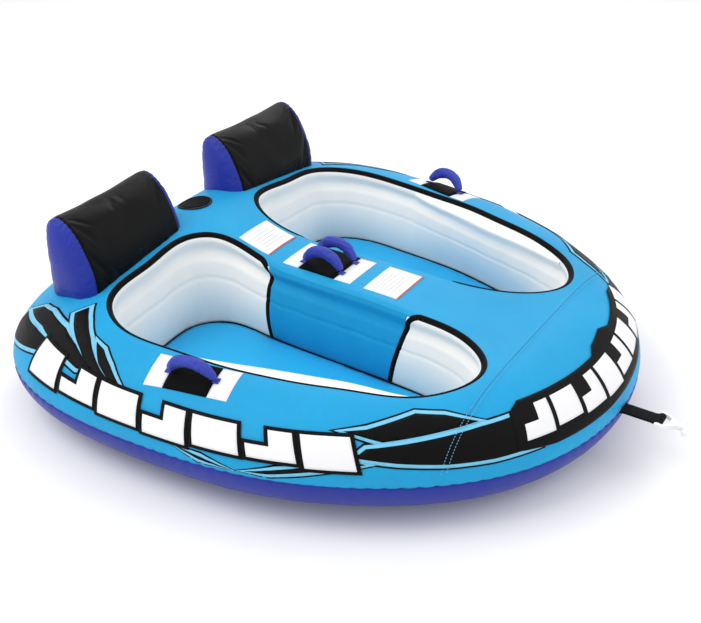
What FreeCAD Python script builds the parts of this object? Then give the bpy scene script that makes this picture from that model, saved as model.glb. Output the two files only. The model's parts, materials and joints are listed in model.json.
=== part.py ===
"""Towable tube for two seated riders: covers, bladders, backrests, handles, valve and tow strap.

The frame has +X forward (the nose, where the tow strap leaves), +Y to the port side, +Z up,
and its origin on the ground under the middle of the hull. Lengths are in millimetres.
"""
import FreeCAD, Part
import math
import os

V = FreeCAD.Vector
UP = V(0, 0, 1)

# Hull
SEAM_Z = 149.0                # height of the seam between top cover and lower band
DECK_Z = 312.0                # deck height over the origin
HUMP = 68.0                   # the deck rises by this much at the stern's middle
HUMP_START = -170.0           # the rise starts here
HUMP_RUN = 370.0              # and is complete this much further aft
HUMP_WIDTH = 520.0            # distance from the centre plane over which it fades
CROWN_INSET = 220.0           # plan width of the rounding from the seam up to the deck
CORNER_INSET = 120.0          # how much wider that rounding is at the stern's corners
CORNER_START = -200.0
CORNER_RUN = 500.0
CORNER_Y = 450.0
BILGE_INSET = 215.0           # plan width of the rounding from the seam down to the ground
RING_POINTS = 44              # points on each ring of the hull's loft
RING_STEPS = 6                # rings in each of the two roundings
DECK_RINGS = (0.8, 0.6, 0.4, 0.2, 0.03)  # further rings, as scales of the crown's last one
SKIN = 2.5                    # cloth thickness
GAP = 0.7                     # room between two sewn layers
HULL_HALF = [(837, 0), (813, 185), (742, 356), (630, 500), (493, 612), (344, 697), (189, 759),
             (26, 796), (-143, 814), (-324, 819), (-517, 795), (-696, 709), (-810, 547),
             (-835, 346), (-805, 159), (-785, 0)]

# Cockpits
COCKPIT = [(-479, 177), (-424, 116), (-250, 103), (0, 112), (249, 119), (437, 155), (533, 256),
           (486, 392), (277, 508), (48, 572), (-200, 598), (-386, 585), (-472, 514), (-486, 345)]
FLOOR_Z = 60.0
FLOOR_EASE = 0.8              # room between the floor pad and the wall
FLOOR_VALVE = (-380, 200)
FLOOR_VALVE_R = 13.0
FLOOR_STEM_R = 8.0
FLOOR_VALVE_LOW = 31.0        # height of the stem's lower end
BINDING_OUT = 16.0            # binding on the deck, beyond the opening's edge
BINDING_DROP = 12.0           # binding inside the opening, below the deck
BINDING_THICK = 2.0
LAYER = 0.4                   # clearance under a sewn-on layer
PANEL_REAR = -250.0           # the console's blue wall panel
PANEL_FRONT = 240.0
PANEL_BINDING = 14.0
CONSOLE_HALF_LENGTH = 430.0
CONSOLE_REACH = 200.0         # half width of the block that the console bladder is cut from
NOSE_SEAM_X = 585.0

# Backrests
BACKREST_AT = V(-522, 342, 0)  # middle of the front edge of the base
BACKREST_TURN = -1.5           # the outer end stands a little further forward
BACKREST_HALF = 183.0          # half of the black wrap's width
BACKREST_BULGE = 42.0          # how far an end panel puffs out
BACKREST_BASE = 356.0          # deck height that the heights below are counted from
BACKREST_SIDE = [(0, -90), (3, 20), (28, 92), (66, 154), (118, 184), (157, 158), (167, 90), (167, 25),
                 (165, -90)]
BACKREST_HEART = (85, 20)      # depth and height that the end panels close in on

# Handles
HANDLE_REACH = 62.0            # half the distance between a grip's ends
GRIP_END_Z = 13.0              # height of a grip's end over the deck, where it pivots
GRIP_TOP_Z = 52.0
GRIP_END_R = 8.0
GRIP_MID_R = 17.0
GRIP_STATIONS = 11
PAD_LENGTH = 124.0
PATCH_LENGTH = 56.0
SIDE_FIELD_WIDTH = 98.0
CONSOLE_FIELD_WIDTH = 148.0
PAD_THICK = 2.6
TAB_THICK = 1.4
PATCH_THICK = 1.0
TAB_WIDTH = 38.0
SIDE_HANDLE = (-68, 664)
SIDE_HANDLE_TURN = -11.0
CONSOLE_HANDLE_X = -93.0
CONSOLE_HANDLE_Y = 37.0
LABELS = {"label_rear": (-318, 113, 138), "label_front": (127, 115, 150)}

# Main valve
VALVE_X = -600.0
VALVE_FLAP_R = 55.0
VALVE_HOLE_R = 42.0
VALVE_POCKET_DEPTH = 24.0
VALVE_FLANGE_R = 34.0
VALVE_BARREL_R = 19.0
VALVE_BORE_R = 13.0
VALVE_CAP_R = 24.0
VALVE_DEPTH = 62.0

# Zips
ZIP_TAPE = 30.0
MAIN_ZIP_X = -560.0
MAIN_ZIP_HALF = 320.0
MAIN_ZIP_DEPTH = 4.0
BACK_ZIP_HALF = 150.0
BACK_ZIP_Z = 60.0
BACK_ZIP_DEPTH = 168.0         # depth of the backrest's rear face at the zip
ZIP_THICK = 1.0
TEETH_THICK = 1.4
BACK_VALVE_R = 12.0
BACK_VALVE_Y = 60.0

# Tow gear
BOTTOM_THICK = 5.0
HARNESS_HALF = 24.0
HARNESS_THICK = 2.0
HARNESS_STERN = -520.0
STRAP_X = 847.0                # pivot of the webbing where it leaves the seam
TONGUE = (832.0, 841.0)        # where the harness comes out through the seam
STRAP_HALF = 22.0
STRAP_THICK = 7.0
HOOK_X = 938.0                 # axis of the hook's cross bar
EYE_R = 7.0
EYE_WALL = 3.5
BAR_R = 6.4
HOOK_THICK = 14.0


def closed_curve(points):
    """Smooth closed curve through the points."""
    curve = Part.BSplineCurve()
    curve.interpolate(points, PeriodicFlag=True)
    return curve


def outline_with_normals(plan_points, count):
    """Evenly spaced points on a closed plan curve, each with its outward normal."""
    curve = closed_curve([V(x, y, 0) for x, y in plan_points])
    spots = []
    for point in curve.discretize(count + 1)[:-1]:
        tangent = curve.tangent(curve.parameter(point))[0]
        spots.append((point, V(tangent.y, -tangent.x, 0)))
    return spots


HULL_SPOTS = outline_with_normals(HULL_HALF + [(x, -y) for x, y in HULL_HALF[-2:0:-1]], RING_POINTS)
COCKPIT_SPOTS = outline_with_normals(COCKPIT, RING_POINTS)


def eased(share):
    """Smooth step from 0 to 1."""
    share = min(max(share, 0.0), 1.0)
    return share * share * (3 - 2 * share)


def deck_height(x, y):
    """Height of the deck inside its rounded crown."""
    aft = eased((HUMP_START - x) / HUMP_RUN)
    return DECK_Z + HUMP * aft * math.exp(-(y / HUMP_WIDTH) ** 2)


def crown_inset(x, y):
    """Plan width of the crown at a point of the outline."""
    return CROWN_INSET + CORNER_INSET * eased((CORNER_START - x) / CORNER_RUN) * eased(abs(y) / CORNER_Y)


def hull(grow):
    """The hull's outer form, everywhere this much larger than the covers' outside."""
    rings = []
    for step in range(-RING_STEPS, RING_STEPS + 1):
        angle = math.radians(90.0 * step / RING_STEPS)
        ring = []
        for point, normal in HULL_SPOTS:
            inset = (crown_inset(point.x, point.y) if step > 0 else BILGE_INSET) + grow
            spot = point + normal * (grow - inset * (1 - math.cos(angle)))
            rise = deck_height(spot.x, spot.y) + grow - SEAM_Z if step > 0 else SEAM_Z + grow
            spot.z = SEAM_Z + rise * math.sin(angle)
            ring.append(spot)
        rings.append(ring)
    for scale in DECK_RINGS:
        ring = [V(spot.x * scale, spot.y * scale, 0) for spot in rings[2 * RING_STEPS]]
        for spot in ring:
            spot.z = deck_height(spot.x, spot.y) + grow
        rings.append(ring)
    return Part.makeLoft([Part.Wire([closed_curve(ring).toShape()]) for ring in rings], True, True)


def block(low, high):
    """Box between two corners."""
    size = V(*high) - V(*low)
    return Part.makeBox(size.x, size.y, size.z, V(*low))


def cockpit_prism(offset, low=-20.0, high=600.0):
    """Upright prism on the port cockpit's opening, moved outwards by the offset."""
    curve = closed_curve([point + normal * offset for point, normal in COCKPIT_SPOTS])
    face = Part.Face(Part.Wire([curve.toShape()]))
    face.translate(V(0, 0, low))
    return face.extrude(V(0, 0, high - low))


def starboard(shape):
    """Mirror image of a port piece."""
    return shape.mirror(V(0, 0, 0), V(0, 1, 0))


def both(shape):
    return [shape, starboard(shape)]


def save(name, *solids):
    """Write one node, as a single solid or as a group of separate ones."""
    shape = solids[0] if len(solids) == 1 else Part.makeCompound(list(solids))
    found = shape.Solids
    assert found and all(solid.isValid() and solid.Volume > 1 for solid in found), name
    shape = found[0] if len(found) == 1 else Part.makeCompound(found)
    shape.exportStep(os.path.join("parts", name + ".step"))
    print(f"{name:28s} {len(found)} solids  {shape.Volume / 1000:10.1f} cm3")


def save_pair(name, solid):
    """Write a port piece and its starboard mirror image."""
    save(name + "_left", solid)
    save(name + "_right", starboard(solid))


class Deck:
    """Surface of the covers, for what is sewn on top of it."""

    def __init__(self, outside):
        self.outside = outside

    def height(self, x, y):
        line = Part.makeLine(V(x, y, SEAM_Z), V(x, y, 700))
        return self.outside.common(line).BoundBox.ZMax

    def frame(self, x, y, turn=0.0):
        """Placement on the deck: local X along the turn, local Z along the deck's normal."""
        reach = 15.0
        slope_x = (self.height(x + reach, y) - self.height(x - reach, y)) / (2 * reach)
        slope_y = (self.height(x, y + reach) - self.height(x, y - reach)) / (2 * reach)
        normal = V(-slope_x, -slope_y, 1).normalize()
        heading = V(math.cos(math.radians(turn)), math.sin(math.radians(turn)), 0)
        along = (heading - normal * heading.dot(normal)).normalize()
        across = normal.cross(along)
        turned = FreeCAD.Rotation(along, across, normal, "ZXY")
        return FreeCAD.Placement(V(x, y, self.height(x, y)), turned)


def placed(shape, placement):
    """Copy of a shape moved from its local frame into the object's frame."""
    copy = shape.copy()
    copy.Placement = placement.multiply(copy.Placement)
    return copy


def upright_pad(x, y, turn, along, length, width):
    """Tall box over the deck: centred at a local distance along the heading from (x, y)."""
    pad = block((along - length / 2, -width / 2, SEAM_Z), (along + length / 2, width / 2, 700))
    pad.rotate(V(0, 0, 0), UP, turn)
    pad.translate(V(x, y, 0))
    return pad


# ---------------------------------------------------------------- hull covers and bladders

def make_hull(outside, inside, bladder_room):
    skins = outside.cut(inside)
    holes = both(cockpit_prism(0))
    above = block((-1000, -1000, SEAM_Z + LAYER / 2), (1000, 1000, 700))
    valve_hole = Part.makeCylinder(VALVE_HOLE_R, 200, V(VALVE_X, 0, 300))
    slot = block((700, -HARNESS_HALF - 1, SEAM_Z - 4), (900, HARNESS_HALF + 1, SEAM_Z + 4))
    top = skins.common(above).cut(Part.makeCompound(holes)).cut(valve_hole).cut(slot)
    nose_side = block((NOSE_SEAM_X, -1000, 0), (1000, 1000, 700))
    deck_side = block((-1000, -1000, 0), (NOSE_SEAM_X - LAYER, 1000, 700))
    save("nose_cover", top.common(nose_side))
    save("top_cover", top.common(deck_side))

    band = skins.common(block((-1000, -1000, BOTTOM_THICK + LAYER), (1000, 1000, SEAM_Z - LAYER / 2)))
    save("lower_side_band", band.cut(slot))

    panel = outside.common(block((-1000, -1000, -1), (1000, 1000, BOTTOM_THICK)))
    reach = MAIN_ZIP_HALF + 12
    pocket = block((MAIN_ZIP_X - 20, -reach, -2), (MAIN_ZIP_X + 20, reach, MAIN_ZIP_DEPTH))
    save("bottom_panel", panel.cut(pocket))

    harness_room = hull(-SKIN - GAP - HARNESS_THICK - 2 * LAYER)
    wells = Part.makeCompound(both(cockpit_prism(SKIN + GAP)))
    raised = bladder_room.common(block((-1000, -1000, BOTTOM_THICK + GAP), (1000, 1000, 700)))
    lane = block((HARNESS_STERN - 5, -HARNESS_HALF - 2, -10), (1000, HARNESS_HALF + 2, SEAM_Z + 5))
    lane_floor = block((-1000, -1000, BOTTOM_THICK + GAP + HARNESS_THICK + 2 * LAYER),
                       (1000, 1000, 700))
    channel = lane.cut(harness_room.common(lane_floor))
    valve_room = Part.makeCylinder(VALVE_HOLE_R + 3, 60, V(0, 0, -VALVE_POCKET_DEPTH))
    barrel_room = Part.makeCylinder(VALVE_BARREL_R + LAYER, 60, V(0, 0, -VALVE_DEPTH - LAYER))
    body = raised.cut(wells).cut(channel).cut(placed(valve_room.fuse(barrel_room), DECK_VALVE))
    console = block((-CONSOLE_HALF_LENGTH, -CONSOLE_REACH, -10),
                    (CONSOLE_HALF_LENGTH, CONSOLE_REACH, 700))
    console_room = block((-CONSOLE_HALF_LENGTH - GAP, -CONSOLE_REACH, -10),
                         (CONSOLE_HALF_LENGTH + GAP, CONSOLE_REACH, 700))
    save("ring_bladder", body.cut(console_room))
    save("console_bladder", body.common(console))

    strap_room = lane.common(block((HARNESS_STERN, -HARNESS_HALF, -10),
                                   (1000, HARNESS_HALF, SEAM_Z + 2)))
    outer = hull(-SKIN - GAP).common(block((-1000, -1000, BOTTOM_THICK + GAP), (1000, 1000, 700)))
    inner = hull(-SKIN - GAP - HARNESS_THICK).common(
        block((-1000, -1000, BOTTOM_THICK + GAP + HARNESS_THICK), (1000, 1000, 700)))
    tongue = block((TONGUE[0], -HARNESS_HALF, SEAM_Z - 2), (TONGUE[1], HARNESS_HALF, SEAM_Z + 2))
    save("tow_harness", strap_room.common(outer).cut(inner).fuse(tongue).removeSplitter())


def make_cockpit(bladder_room, low, deep_layer):
    liner = cockpit_prism(SKIN).cut(cockpit_prism(0)).common(bladder_room)
    liner = liner.common(block((-1000, 0, BOTTOM_THICK + GAP), (1000, 1000, 700)))
    panel_zone = block((PANEL_REAR, 0, 0), (PANEL_FRONT, 230, 700))
    wall_zone = block((PANEL_REAR - LAYER, 0, 0), (PANEL_FRONT + LAYER, 230, 700))
    save_pair("cockpit_wall", liner.cut(wall_zone))
    save_pair("console_panel", liner.common(panel_zone))

    cloth = cockpit_prism(-FLOOR_EASE, FLOOR_Z - SKIN, FLOOR_Z)
    flange_room = Part.makeCylinder(FLOOR_VALVE_R + LAYER, 100, V(*FLOOR_VALVE, FLOOR_VALVE_LOW - 5))
    save_pair("cockpit_floor", cloth.cut(flange_room))
    pad = cockpit_prism(-FLOOR_EASE, BOTTOM_THICK + GAP, FLOOR_Z - SKIN - GAP)
    stem_room = Part.makeCylinder(FLOOR_STEM_R + LAYER, 100, V(*FLOOR_VALVE, FLOOR_VALVE_LOW - 1))
    save_pair("floor_bladder", pad.common(bladder_room).cut(stem_room))
    flange = Part.makeCylinder(FLOOR_VALVE_R, SKIN * 2, V(*FLOOR_VALVE, FLOOR_Z - SKIN))
    stem = Part.makeCylinder(FLOOR_STEM_R, FLOOR_Z - SKIN - FLOOR_VALVE_LOW,
                             V(*FLOOR_VALVE, FLOOR_VALVE_LOW))
    save_pair("floor_valve", flange.fuse(stem))

    inner_edge = cockpit_prism(-LAYER - BINDING_THICK)
    cover_room = low.cut(cockpit_prism(-LAYER))
    ring = cockpit_prism(BINDING_OUT, SEAM_Z).cut(inner_edge)
    save_pair("cockpit_binding", ring.common(deep_layer).cut(cover_room).cut(BACKREST_ROOM))

    strip = cockpit_prism(-LAYER).cut(inner_edge)
    strips = []
    for x in (PANEL_REAR, PANEL_FRONT):
        zone = block((x - PANEL_BINDING / 2, 0, FLOOR_Z + LAYER),
                     (x + PANEL_BINDING / 2, 230, DECK_Z - BINDING_DROP - 3))
        strips.append(strip.common(zone))
    save("panel_binding_left", *strips)
    save("panel_binding_right", *[starboard(piece) for piece in strips])


# ---------------------------------------------------------------- backrests

def backrest_profile(y, inset, scale):
    """Side outline of a backrest at one place across it, drawn in and scaled towards its heart."""
    last = len(BACKREST_SIDE) - 1
    spots = []
    for place, (depth, height) in enumerate(BACKREST_SIDE):
        before = BACKREST_SIDE[max(place - 1, 0)]
        after = BACKREST_SIDE[min(place + 1, last)]
        run, rise = after[0] - before[0], after[1] - before[1]
        length = math.hypot(run, rise)
        depth += inset * rise / length
        height -= inset * run / length
        depth = BACKREST_HEART[0] + (depth - BACKREST_HEART[0]) * scale
        height = BACKREST_HEART[1] + (height - BACKREST_HEART[1]) * scale
        spots.append(V(-depth, y, height))
    arch = Part.BSplineCurve()
    arch.interpolate(spots)
    return Part.Wire([arch.toShape(), Part.makeLine(spots[last], spots[0])])


def backrest_form(inset):
    """Backrest form with puffed ends, everywhere this far inside the cloth's outside."""
    bulge = BACKREST_BULGE - inset
    stations = []
    for degrees in (76, 60, 42, 22, 0):
        angle = math.radians(degrees)
        stations.append((BACKREST_HALF + bulge * math.sin(angle), math.cos(angle)))
    wires = [backrest_profile(-reach, inset, scale) for reach, scale in stations]
    wires += [backrest_profile(reach, inset, scale) for reach, scale in reversed(stations)]
    return Part.makeLoft(wires, True, True)


def rear_rod(radius, depth, length):
    """Round rod into a backrest's rear face, from a depth forwards, at its inflation valve."""
    start = V(-depth, BACK_VALVE_Y, BACK_ZIP_Z)
    return Part.makeCylinder(radius, length, start, V(1, 0, 0))


def make_backrest(on_deck, lift):
    shell = placed(backrest_form(0).cut(backrest_form(SKIN)), BACKREST_PLACE).cut(on_deck)
    middle = block((-400, -BACKREST_HALF, -200), (200, BACKREST_HALF, 400))
    cut_half = BACKREST_HALF + LAYER
    outboard = block((-400, cut_half, -200), (200, 400, 400))
    inboard = block((-400, -400, -200), (200, -cut_half, 400))
    save_pair("backrest_wrap", shell.common(placed(middle, BACKREST_PLACE)))
    save_pair("backrest_end_outer", shell.common(placed(outboard, BACKREST_PLACE)))
    save_pair("backrest_end_inner", shell.common(placed(inboard, BACKREST_PLACE)))

    depth = BACK_ZIP_DEPTH - SKIN - GAP
    flange = rear_rod(BACK_VALVE_R, depth - 4, 2.5)
    stem = rear_rod(BACK_VALVE_R * 0.6, depth - 6, 25)
    room = rear_rod(BACK_VALVE_R + 1, depth + 10, 18)
    stem_room = rear_rod(BACK_VALVE_R * 0.6 + LAYER, depth, 33)
    save_pair("backrest_valve", placed(stem.fuse(flange), BACKREST_PLACE))
    bladder = backrest_form(SKIN + GAP).cut(room.fuse(stem_room))
    save_pair("backrest_bladder", placed(bladder, BACKREST_PLACE).cut(lift))

    face = -BACK_ZIP_DEPTH - LAYER - 0.3
    end = BACK_ZIP_HALF + 12
    tape = block((face - ZIP_THICK, -end, BACK_ZIP_Z - ZIP_TAPE / 2),
                 (face, end, BACK_ZIP_Z + ZIP_TAPE / 2))
    crest = face - ZIP_THICK - TEETH_THICK
    teeth = block((crest, -end + 2, BACK_ZIP_Z - 2.5), (face - ZIP_THICK, end - 2, BACK_ZIP_Z + 2.5))
    save_pair("backrest_zip", placed(tape.fuse(teeth).removeSplitter(), BACKREST_PLACE))
    low = crest - LAYER
    slider = block((low - 2.4, -BACK_ZIP_HALF - 7, BACK_ZIP_Z - 5),
                   (low, -BACK_ZIP_HALF + 7, BACK_ZIP_Z + 5))
    pull = block((low - 4.2, -BACK_ZIP_HALF - 4, BACK_ZIP_Z - 34),
                 (low - 2.4, -BACK_ZIP_HALF + 4, BACK_ZIP_Z + 2))
    save_pair("backrest_zip_slider", placed(slider.fuse(pull).removeSplitter(), BACKREST_PLACE))


# ---------------------------------------------------------------- handles

def grip():
    """Arched padded grip, thin at its two ends, standing over its local frame."""
    rise = GRIP_TOP_Z - GRIP_END_Z
    radius = (HANDLE_REACH ** 2 + rise ** 2) / (2 * rise)
    centre_z = GRIP_TOP_Z - radius
    half_angle = math.asin(HANDLE_REACH / radius)
    wires = []
    for station in range(GRIP_STATIONS):
        share = station / (GRIP_STATIONS - 1)
        angle = half_angle * (2 * share - 1)
        centre = V(radius * math.sin(angle), 0, centre_z + radius * math.cos(angle))
        fullness = math.sin(math.pi * share) ** 0.5
        size = GRIP_END_R + (GRIP_MID_R - GRIP_END_R) * fullness
        along = V(math.cos(angle), 0, -math.sin(angle))
        wires.append(Part.Wire([Part.makeCircle(size, centre, along)]))
    return Part.makeLoft(wires, True, False)


def handle_field(x, y, turn, width, layers, tab_rows):
    """Knuckle pad, reinforcement patches and sewn-down webbing under one or two grips."""
    pad = upright_pad(x, y, turn, 0, PAD_LENGTH, width).common(layers["pad"])
    patches = []
    tabs = []
    for side in (-1, 1):
        along = side * (PAD_LENGTH + PATCH_LENGTH + 2 * LAYER) / 2
        patches.append(upright_pad(x, y, turn, along, PATCH_LENGTH, width).common(layers["patch"]))
        for row in tab_rows:
            tab = upright_pad(x, y + row, turn, along, PATCH_LENGTH - 8, TAB_WIDTH)
            tabs.append(tab.common(layers["tab"]))
    return pad, patches, tabs


def make_handles(deck, layers):
    shape = grip()
    pad, patches, tabs = handle_field(*SIDE_HANDLE, SIDE_HANDLE_TURN, SIDE_FIELD_WIDTH, layers, (0,))
    save_pair("side_knuckle_pad", pad)
    save("side_handle_patches_left", *patches)
    save("side_handle_patches_right", *[starboard(piece) for piece in patches])
    save("side_handle_webbing_left", *tabs)
    save("side_handle_webbing_right", *[starboard(piece) for piece in tabs])
    place = deck.frame(*SIDE_HANDLE, SIDE_HANDLE_TURN)
    print("side handle frame", place)
    save_pair("side_grip", placed(shape, place))

    rows = (-CONSOLE_HANDLE_Y, CONSOLE_HANDLE_Y)
    pad, patches, tabs = handle_field(CONSOLE_HANDLE_X, 0, 0, CONSOLE_FIELD_WIDTH, layers, rows)
    save("console_knuckle_pad", pad)
    save("console_handle_patches", *patches)
    save("console_handle_webbing", *tabs)
    place = deck.frame(CONSOLE_HANDLE_X, CONSOLE_HANDLE_Y)
    print("console handle frame", place)
    save_pair("console_grip", placed(shape, place))
    for name, (x, length, width) in LABELS.items():
        save(name, upright_pad(x, 0, 0, 0, length, width).common(layers["tab"]))


# ---------------------------------------------------------------- main valve and zip

def make_valve(flap_layer):
    flap = flap_layer.common(Part.makeCylinder(VALVE_FLAP_R, 400, V(VALVE_X, 0, 250)))
    save("valve_flap", flap)
    floor = -VALVE_POCKET_DEPTH + LAYER
    flange = Part.makeCylinder(VALVE_FLANGE_R, 3, V(0, 0, floor))
    barrel = Part.makeCylinder(VALVE_BARREL_R, VALVE_DEPTH - 13, V(0, 0, -VALVE_DEPTH))
    bore = Part.makeCylinder(VALVE_BORE_R, VALVE_DEPTH, V(0, 0, -VALVE_DEPTH + 4))
    save("main_valve", placed(flange.fuse(barrel).cut(bore).removeSplitter(), DECK_VALVE))
    skirt_low = floor + 3 + LAYER
    cap = Part.makeCylinder(VALVE_CAP_R, -3.5 - skirt_low, V(0, 0, skirt_low))
    cap = cap.cut(Part.makeCylinder(VALVE_BARREL_R + 0.5, 30, V(0, 0, -42.5)))
    for count in range(12):
        rib = block((VALVE_CAP_R - 1, -1.5, skirt_low), (VALVE_CAP_R + 1.2, 1.5, -4.5))
        rib.rotate(V(0, 0, 0), UP, 30 * count)
        cap = cap.fuse(rib)
    save("main_valve_cap", placed(cap.removeSplitter(), DECK_VALVE))


def make_main_zip():
    reach = MAIN_ZIP_HALF + 8
    tape = block((MAIN_ZIP_X - 15, -reach, 2.6), (MAIN_ZIP_X + 15, reach, 3.4))
    teeth = block((MAIN_ZIP_X - 2.5, -reach + 4, 1.8), (MAIN_ZIP_X + 2.5, reach - 4, 2.6))
    save("main_zip", tape.fuse(teeth).removeSplitter())
    slider = block((MAIN_ZIP_X - 5, -MAIN_ZIP_HALF - 6, 0.5), (MAIN_ZIP_X + 5, -MAIN_ZIP_HALF + 8, 1.4))
    pull = block((MAIN_ZIP_X - 3.5, -MAIN_ZIP_HALF + 8, 0.5),
                 (MAIN_ZIP_X + 3.5, -MAIN_ZIP_HALF + 30, 1.4))
    save("main_zip_slider", slider.fuse(pull).removeSplitter())


# ---------------------------------------------------------------- tow strap and hook

def make_tow_gear():
    eye_outer = EYE_R + EYE_WALL
    end = Part.makeCylinder(STRAP_THICK / 2, 2 * STRAP_HALF, V(STRAP_X, -STRAP_HALF, SEAM_Z), V(0, 1, 0))
    web = block((STRAP_X, -STRAP_HALF, SEAM_Z - STRAP_THICK / 2),
                (HOOK_X - EYE_R - 1, STRAP_HALF, SEAM_Z + STRAP_THICK / 2))
    eye = Part.makeCylinder(eye_outer, 2 * STRAP_HALF, V(HOOK_X, -STRAP_HALF, SEAM_Z), V(0, 1, 0))
    hole = Part.makeCylinder(EYE_R, 2 * STRAP_HALF + 2, V(HOOK_X, -STRAP_HALF - 1, SEAM_Z), V(0, 1, 0))
    save("tow_strap", end.fuse(web).fuse(eye).cut(hole).removeSplitter())

    arm = STRAP_HALF + 1.5
    outer = [(-8, arm + 9), (12, arm + 9), (44, 10), (66, 9), (66, -9), (44, -10), (12, -arm - 9),
             (-8, -arm - 9)]
    window = [(-10, arm), (12, arm), (25, 14), (25, -14), (12, -arm), (-10, -arm)]

    def plate(points):
        wire = Part.makePolygon([V(HOOK_X + x, y, SEAM_Z - HOOK_THICK / 2) for x, y in points + points[:1]])
        return Part.Face(wire).extrude(V(0, 0, HOOK_THICK))

    frame = plate(outer).cut(plate(window))
    rounded = [edge for edge in frame.Edges
               if abs(edge.CenterOfMass.z - SEAM_Z) > HOOK_THICK / 2 - 0.1]
    frame = frame.makeFillet(2.0, rounded)
    bar = Part.makeCylinder(BAR_R, 2 * arm + 4, V(HOOK_X, -arm - 2, SEAM_Z), V(0, 1, 0))
    tee = Part.makeCylinder(8, 56, V(HOOK_X + 70, -28, SEAM_Z), V(0, 1, 0))
    tee = tee.makeFillet(5.0, tee.Edges[:1] + tee.Edges[2:3])
    save("tow_hook", frame.fuse(bar).fuse(tee).removeSplitter())


os.makedirs("parts", exist_ok=True)
OUTSIDE = hull(0)
INSIDE = hull(-SKIN)
BLADDER_ROOM = hull(-SKIN - GAP)
LOW = hull(LAYER)
HIGH = hull(LAYER + BINDING_THICK)
DECK = Deck(OUTSIDE)
DECK_VALVE = DECK.frame(VALVE_X, 0)
BACKREST_PLACE = FreeCAD.Placement(BACKREST_AT + V(0, 0, BACKREST_BASE),
                                   FreeCAD.Rotation(UP, BACKREST_TURN))
BACKREST_ROOM = placed(backrest_form(-LAYER - GAP), BACKREST_PLACE)
print("valve frame", DECK_VALVE)
pad_top = hull(LAYER + PAD_THICK)
tab_top = hull(LAYER + TAB_THICK)
patch_low = hull(2 * LAYER + TAB_THICK)
patch_top = hull(2 * LAYER + TAB_THICK + PATCH_THICK)
deck_layers = {
    "pad": pad_top.cut(LOW),
    "tab": tab_top.cut(LOW),
    "patch": patch_top.cut(patch_low),
}
make_hull(OUTSIDE, INSIDE, BLADDER_ROOM)
make_cockpit(BLADDER_ROOM, LOW, HIGH.cut(hull(-BINDING_DROP)))
make_backrest(hull(LAYER), hull(LAYER + GAP))
make_handles(DECK, deck_layers)
make_valve(deck_layers["pad"])
make_main_zip()
make_tow_gear()
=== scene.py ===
import json
import math

import bmesh
import bpy
import numpy as np
from mathutils import Matrix, Vector, geometry, kdtree

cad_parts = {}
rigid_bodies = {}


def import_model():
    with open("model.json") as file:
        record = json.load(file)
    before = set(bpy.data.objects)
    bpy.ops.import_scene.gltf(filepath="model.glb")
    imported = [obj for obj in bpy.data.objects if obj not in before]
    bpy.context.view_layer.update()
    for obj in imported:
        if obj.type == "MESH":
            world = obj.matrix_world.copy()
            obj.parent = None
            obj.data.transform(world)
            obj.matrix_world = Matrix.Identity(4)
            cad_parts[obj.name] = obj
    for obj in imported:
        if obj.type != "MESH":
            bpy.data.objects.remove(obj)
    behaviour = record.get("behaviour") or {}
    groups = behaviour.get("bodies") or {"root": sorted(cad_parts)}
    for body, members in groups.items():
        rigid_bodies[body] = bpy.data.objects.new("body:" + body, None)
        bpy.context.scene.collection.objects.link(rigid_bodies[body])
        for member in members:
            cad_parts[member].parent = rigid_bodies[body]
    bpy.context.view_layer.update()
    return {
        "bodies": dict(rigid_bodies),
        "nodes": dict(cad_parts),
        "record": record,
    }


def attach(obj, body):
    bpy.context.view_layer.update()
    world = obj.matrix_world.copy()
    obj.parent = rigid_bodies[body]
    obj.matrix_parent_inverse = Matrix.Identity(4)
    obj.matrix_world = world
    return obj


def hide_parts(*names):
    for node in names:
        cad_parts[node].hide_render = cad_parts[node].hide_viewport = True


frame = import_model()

SCENE = bpy.context.scene

# ---------------------------------------------------------------- driving sizes, in metres

SEAM_Z = 0.149
DECK_Z = 0.312
HUMP = 0.068                  # rise of the deck towards the stern's middle
HUMP_START = -0.170
HUMP_RUN = 0.370
HUMP_WIDTH = 0.520
CROWN = 0.220                 # plan width of the rounding from the side seam to the deck
CORNER = 0.120                # how much wider it is at the stern's corners
CORNER_START = -0.200
CORNER_RUN = 0.500
CORNER_SIDE = 0.450
BILGE = 0.215                 # plan width of the rounding down to the ground
FLOOR_Z = 0.060
LIP = 0.022                   # radius of the roll from the deck into a cockpit
LIP_RUN = LIP * math.pi / 2
COVER_END = LIP_RUN * 0.72    # the blue cover goes this far over the roll
WALL_START = LIP_RUN * 0.70
BINDING_AT = LIP_RUN * 0.45   # middle of the black binding
BINDING_WIDTH = 0.019
BINDING_THICK = 0.0024
BEND = 0.045                  # radius of the binding's bends beside the console panel
ROLL = 0.048                  # how far the outer wall's roll stands in
SAG = 0.004                   # the deck droops this much at a cockpit's edge
SAG_REACH = 0.105
NOSE_SEAM_X = 0.585
PANEL_REAR = -0.238
PANEL_FRONT = 0.240
PANEL_SLANT = 0.050           # the panel's front edge runs aft by this much on its way down
BACKREST_AT = (-0.522, 0.342, 0.356)
BACKREST_TURN = -1.5
BACKREST_HALF = 0.183
BACKREST_BULGE = 0.042
BACKREST_SIDE = [(0, -90), (3, 20), (28, 92), (66, 154), (118, 184), (157, 158), (167, 90), (167, 25),
                 (165, -90)]
SIDE_HANDLE = (-0.068, 0.664)
SIDE_HANDLE_TURN = -11.0
SIDE_FIELD = 0.098
CONSOLE_HANDLE_X = -0.093
CONSOLE_FIELD = 0.148
CONSOLE_ROW = 0.037
PAD_LENGTH = 0.124
PATCH_LENGTH = 0.056
TAB = 0.018                   # side of the square tab that holds a grip's end
TAB_OUT = 0.005               # from the pad's end to a tab's middle
PATCH_LIFT = 0.0008           # lift of a patch or label over the deck
PATCH_THICK = 0.0012
STRAP_START = 0.840
STRAP_WIDTH = 0.044
STRAP_THICK = 0.0026
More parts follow.
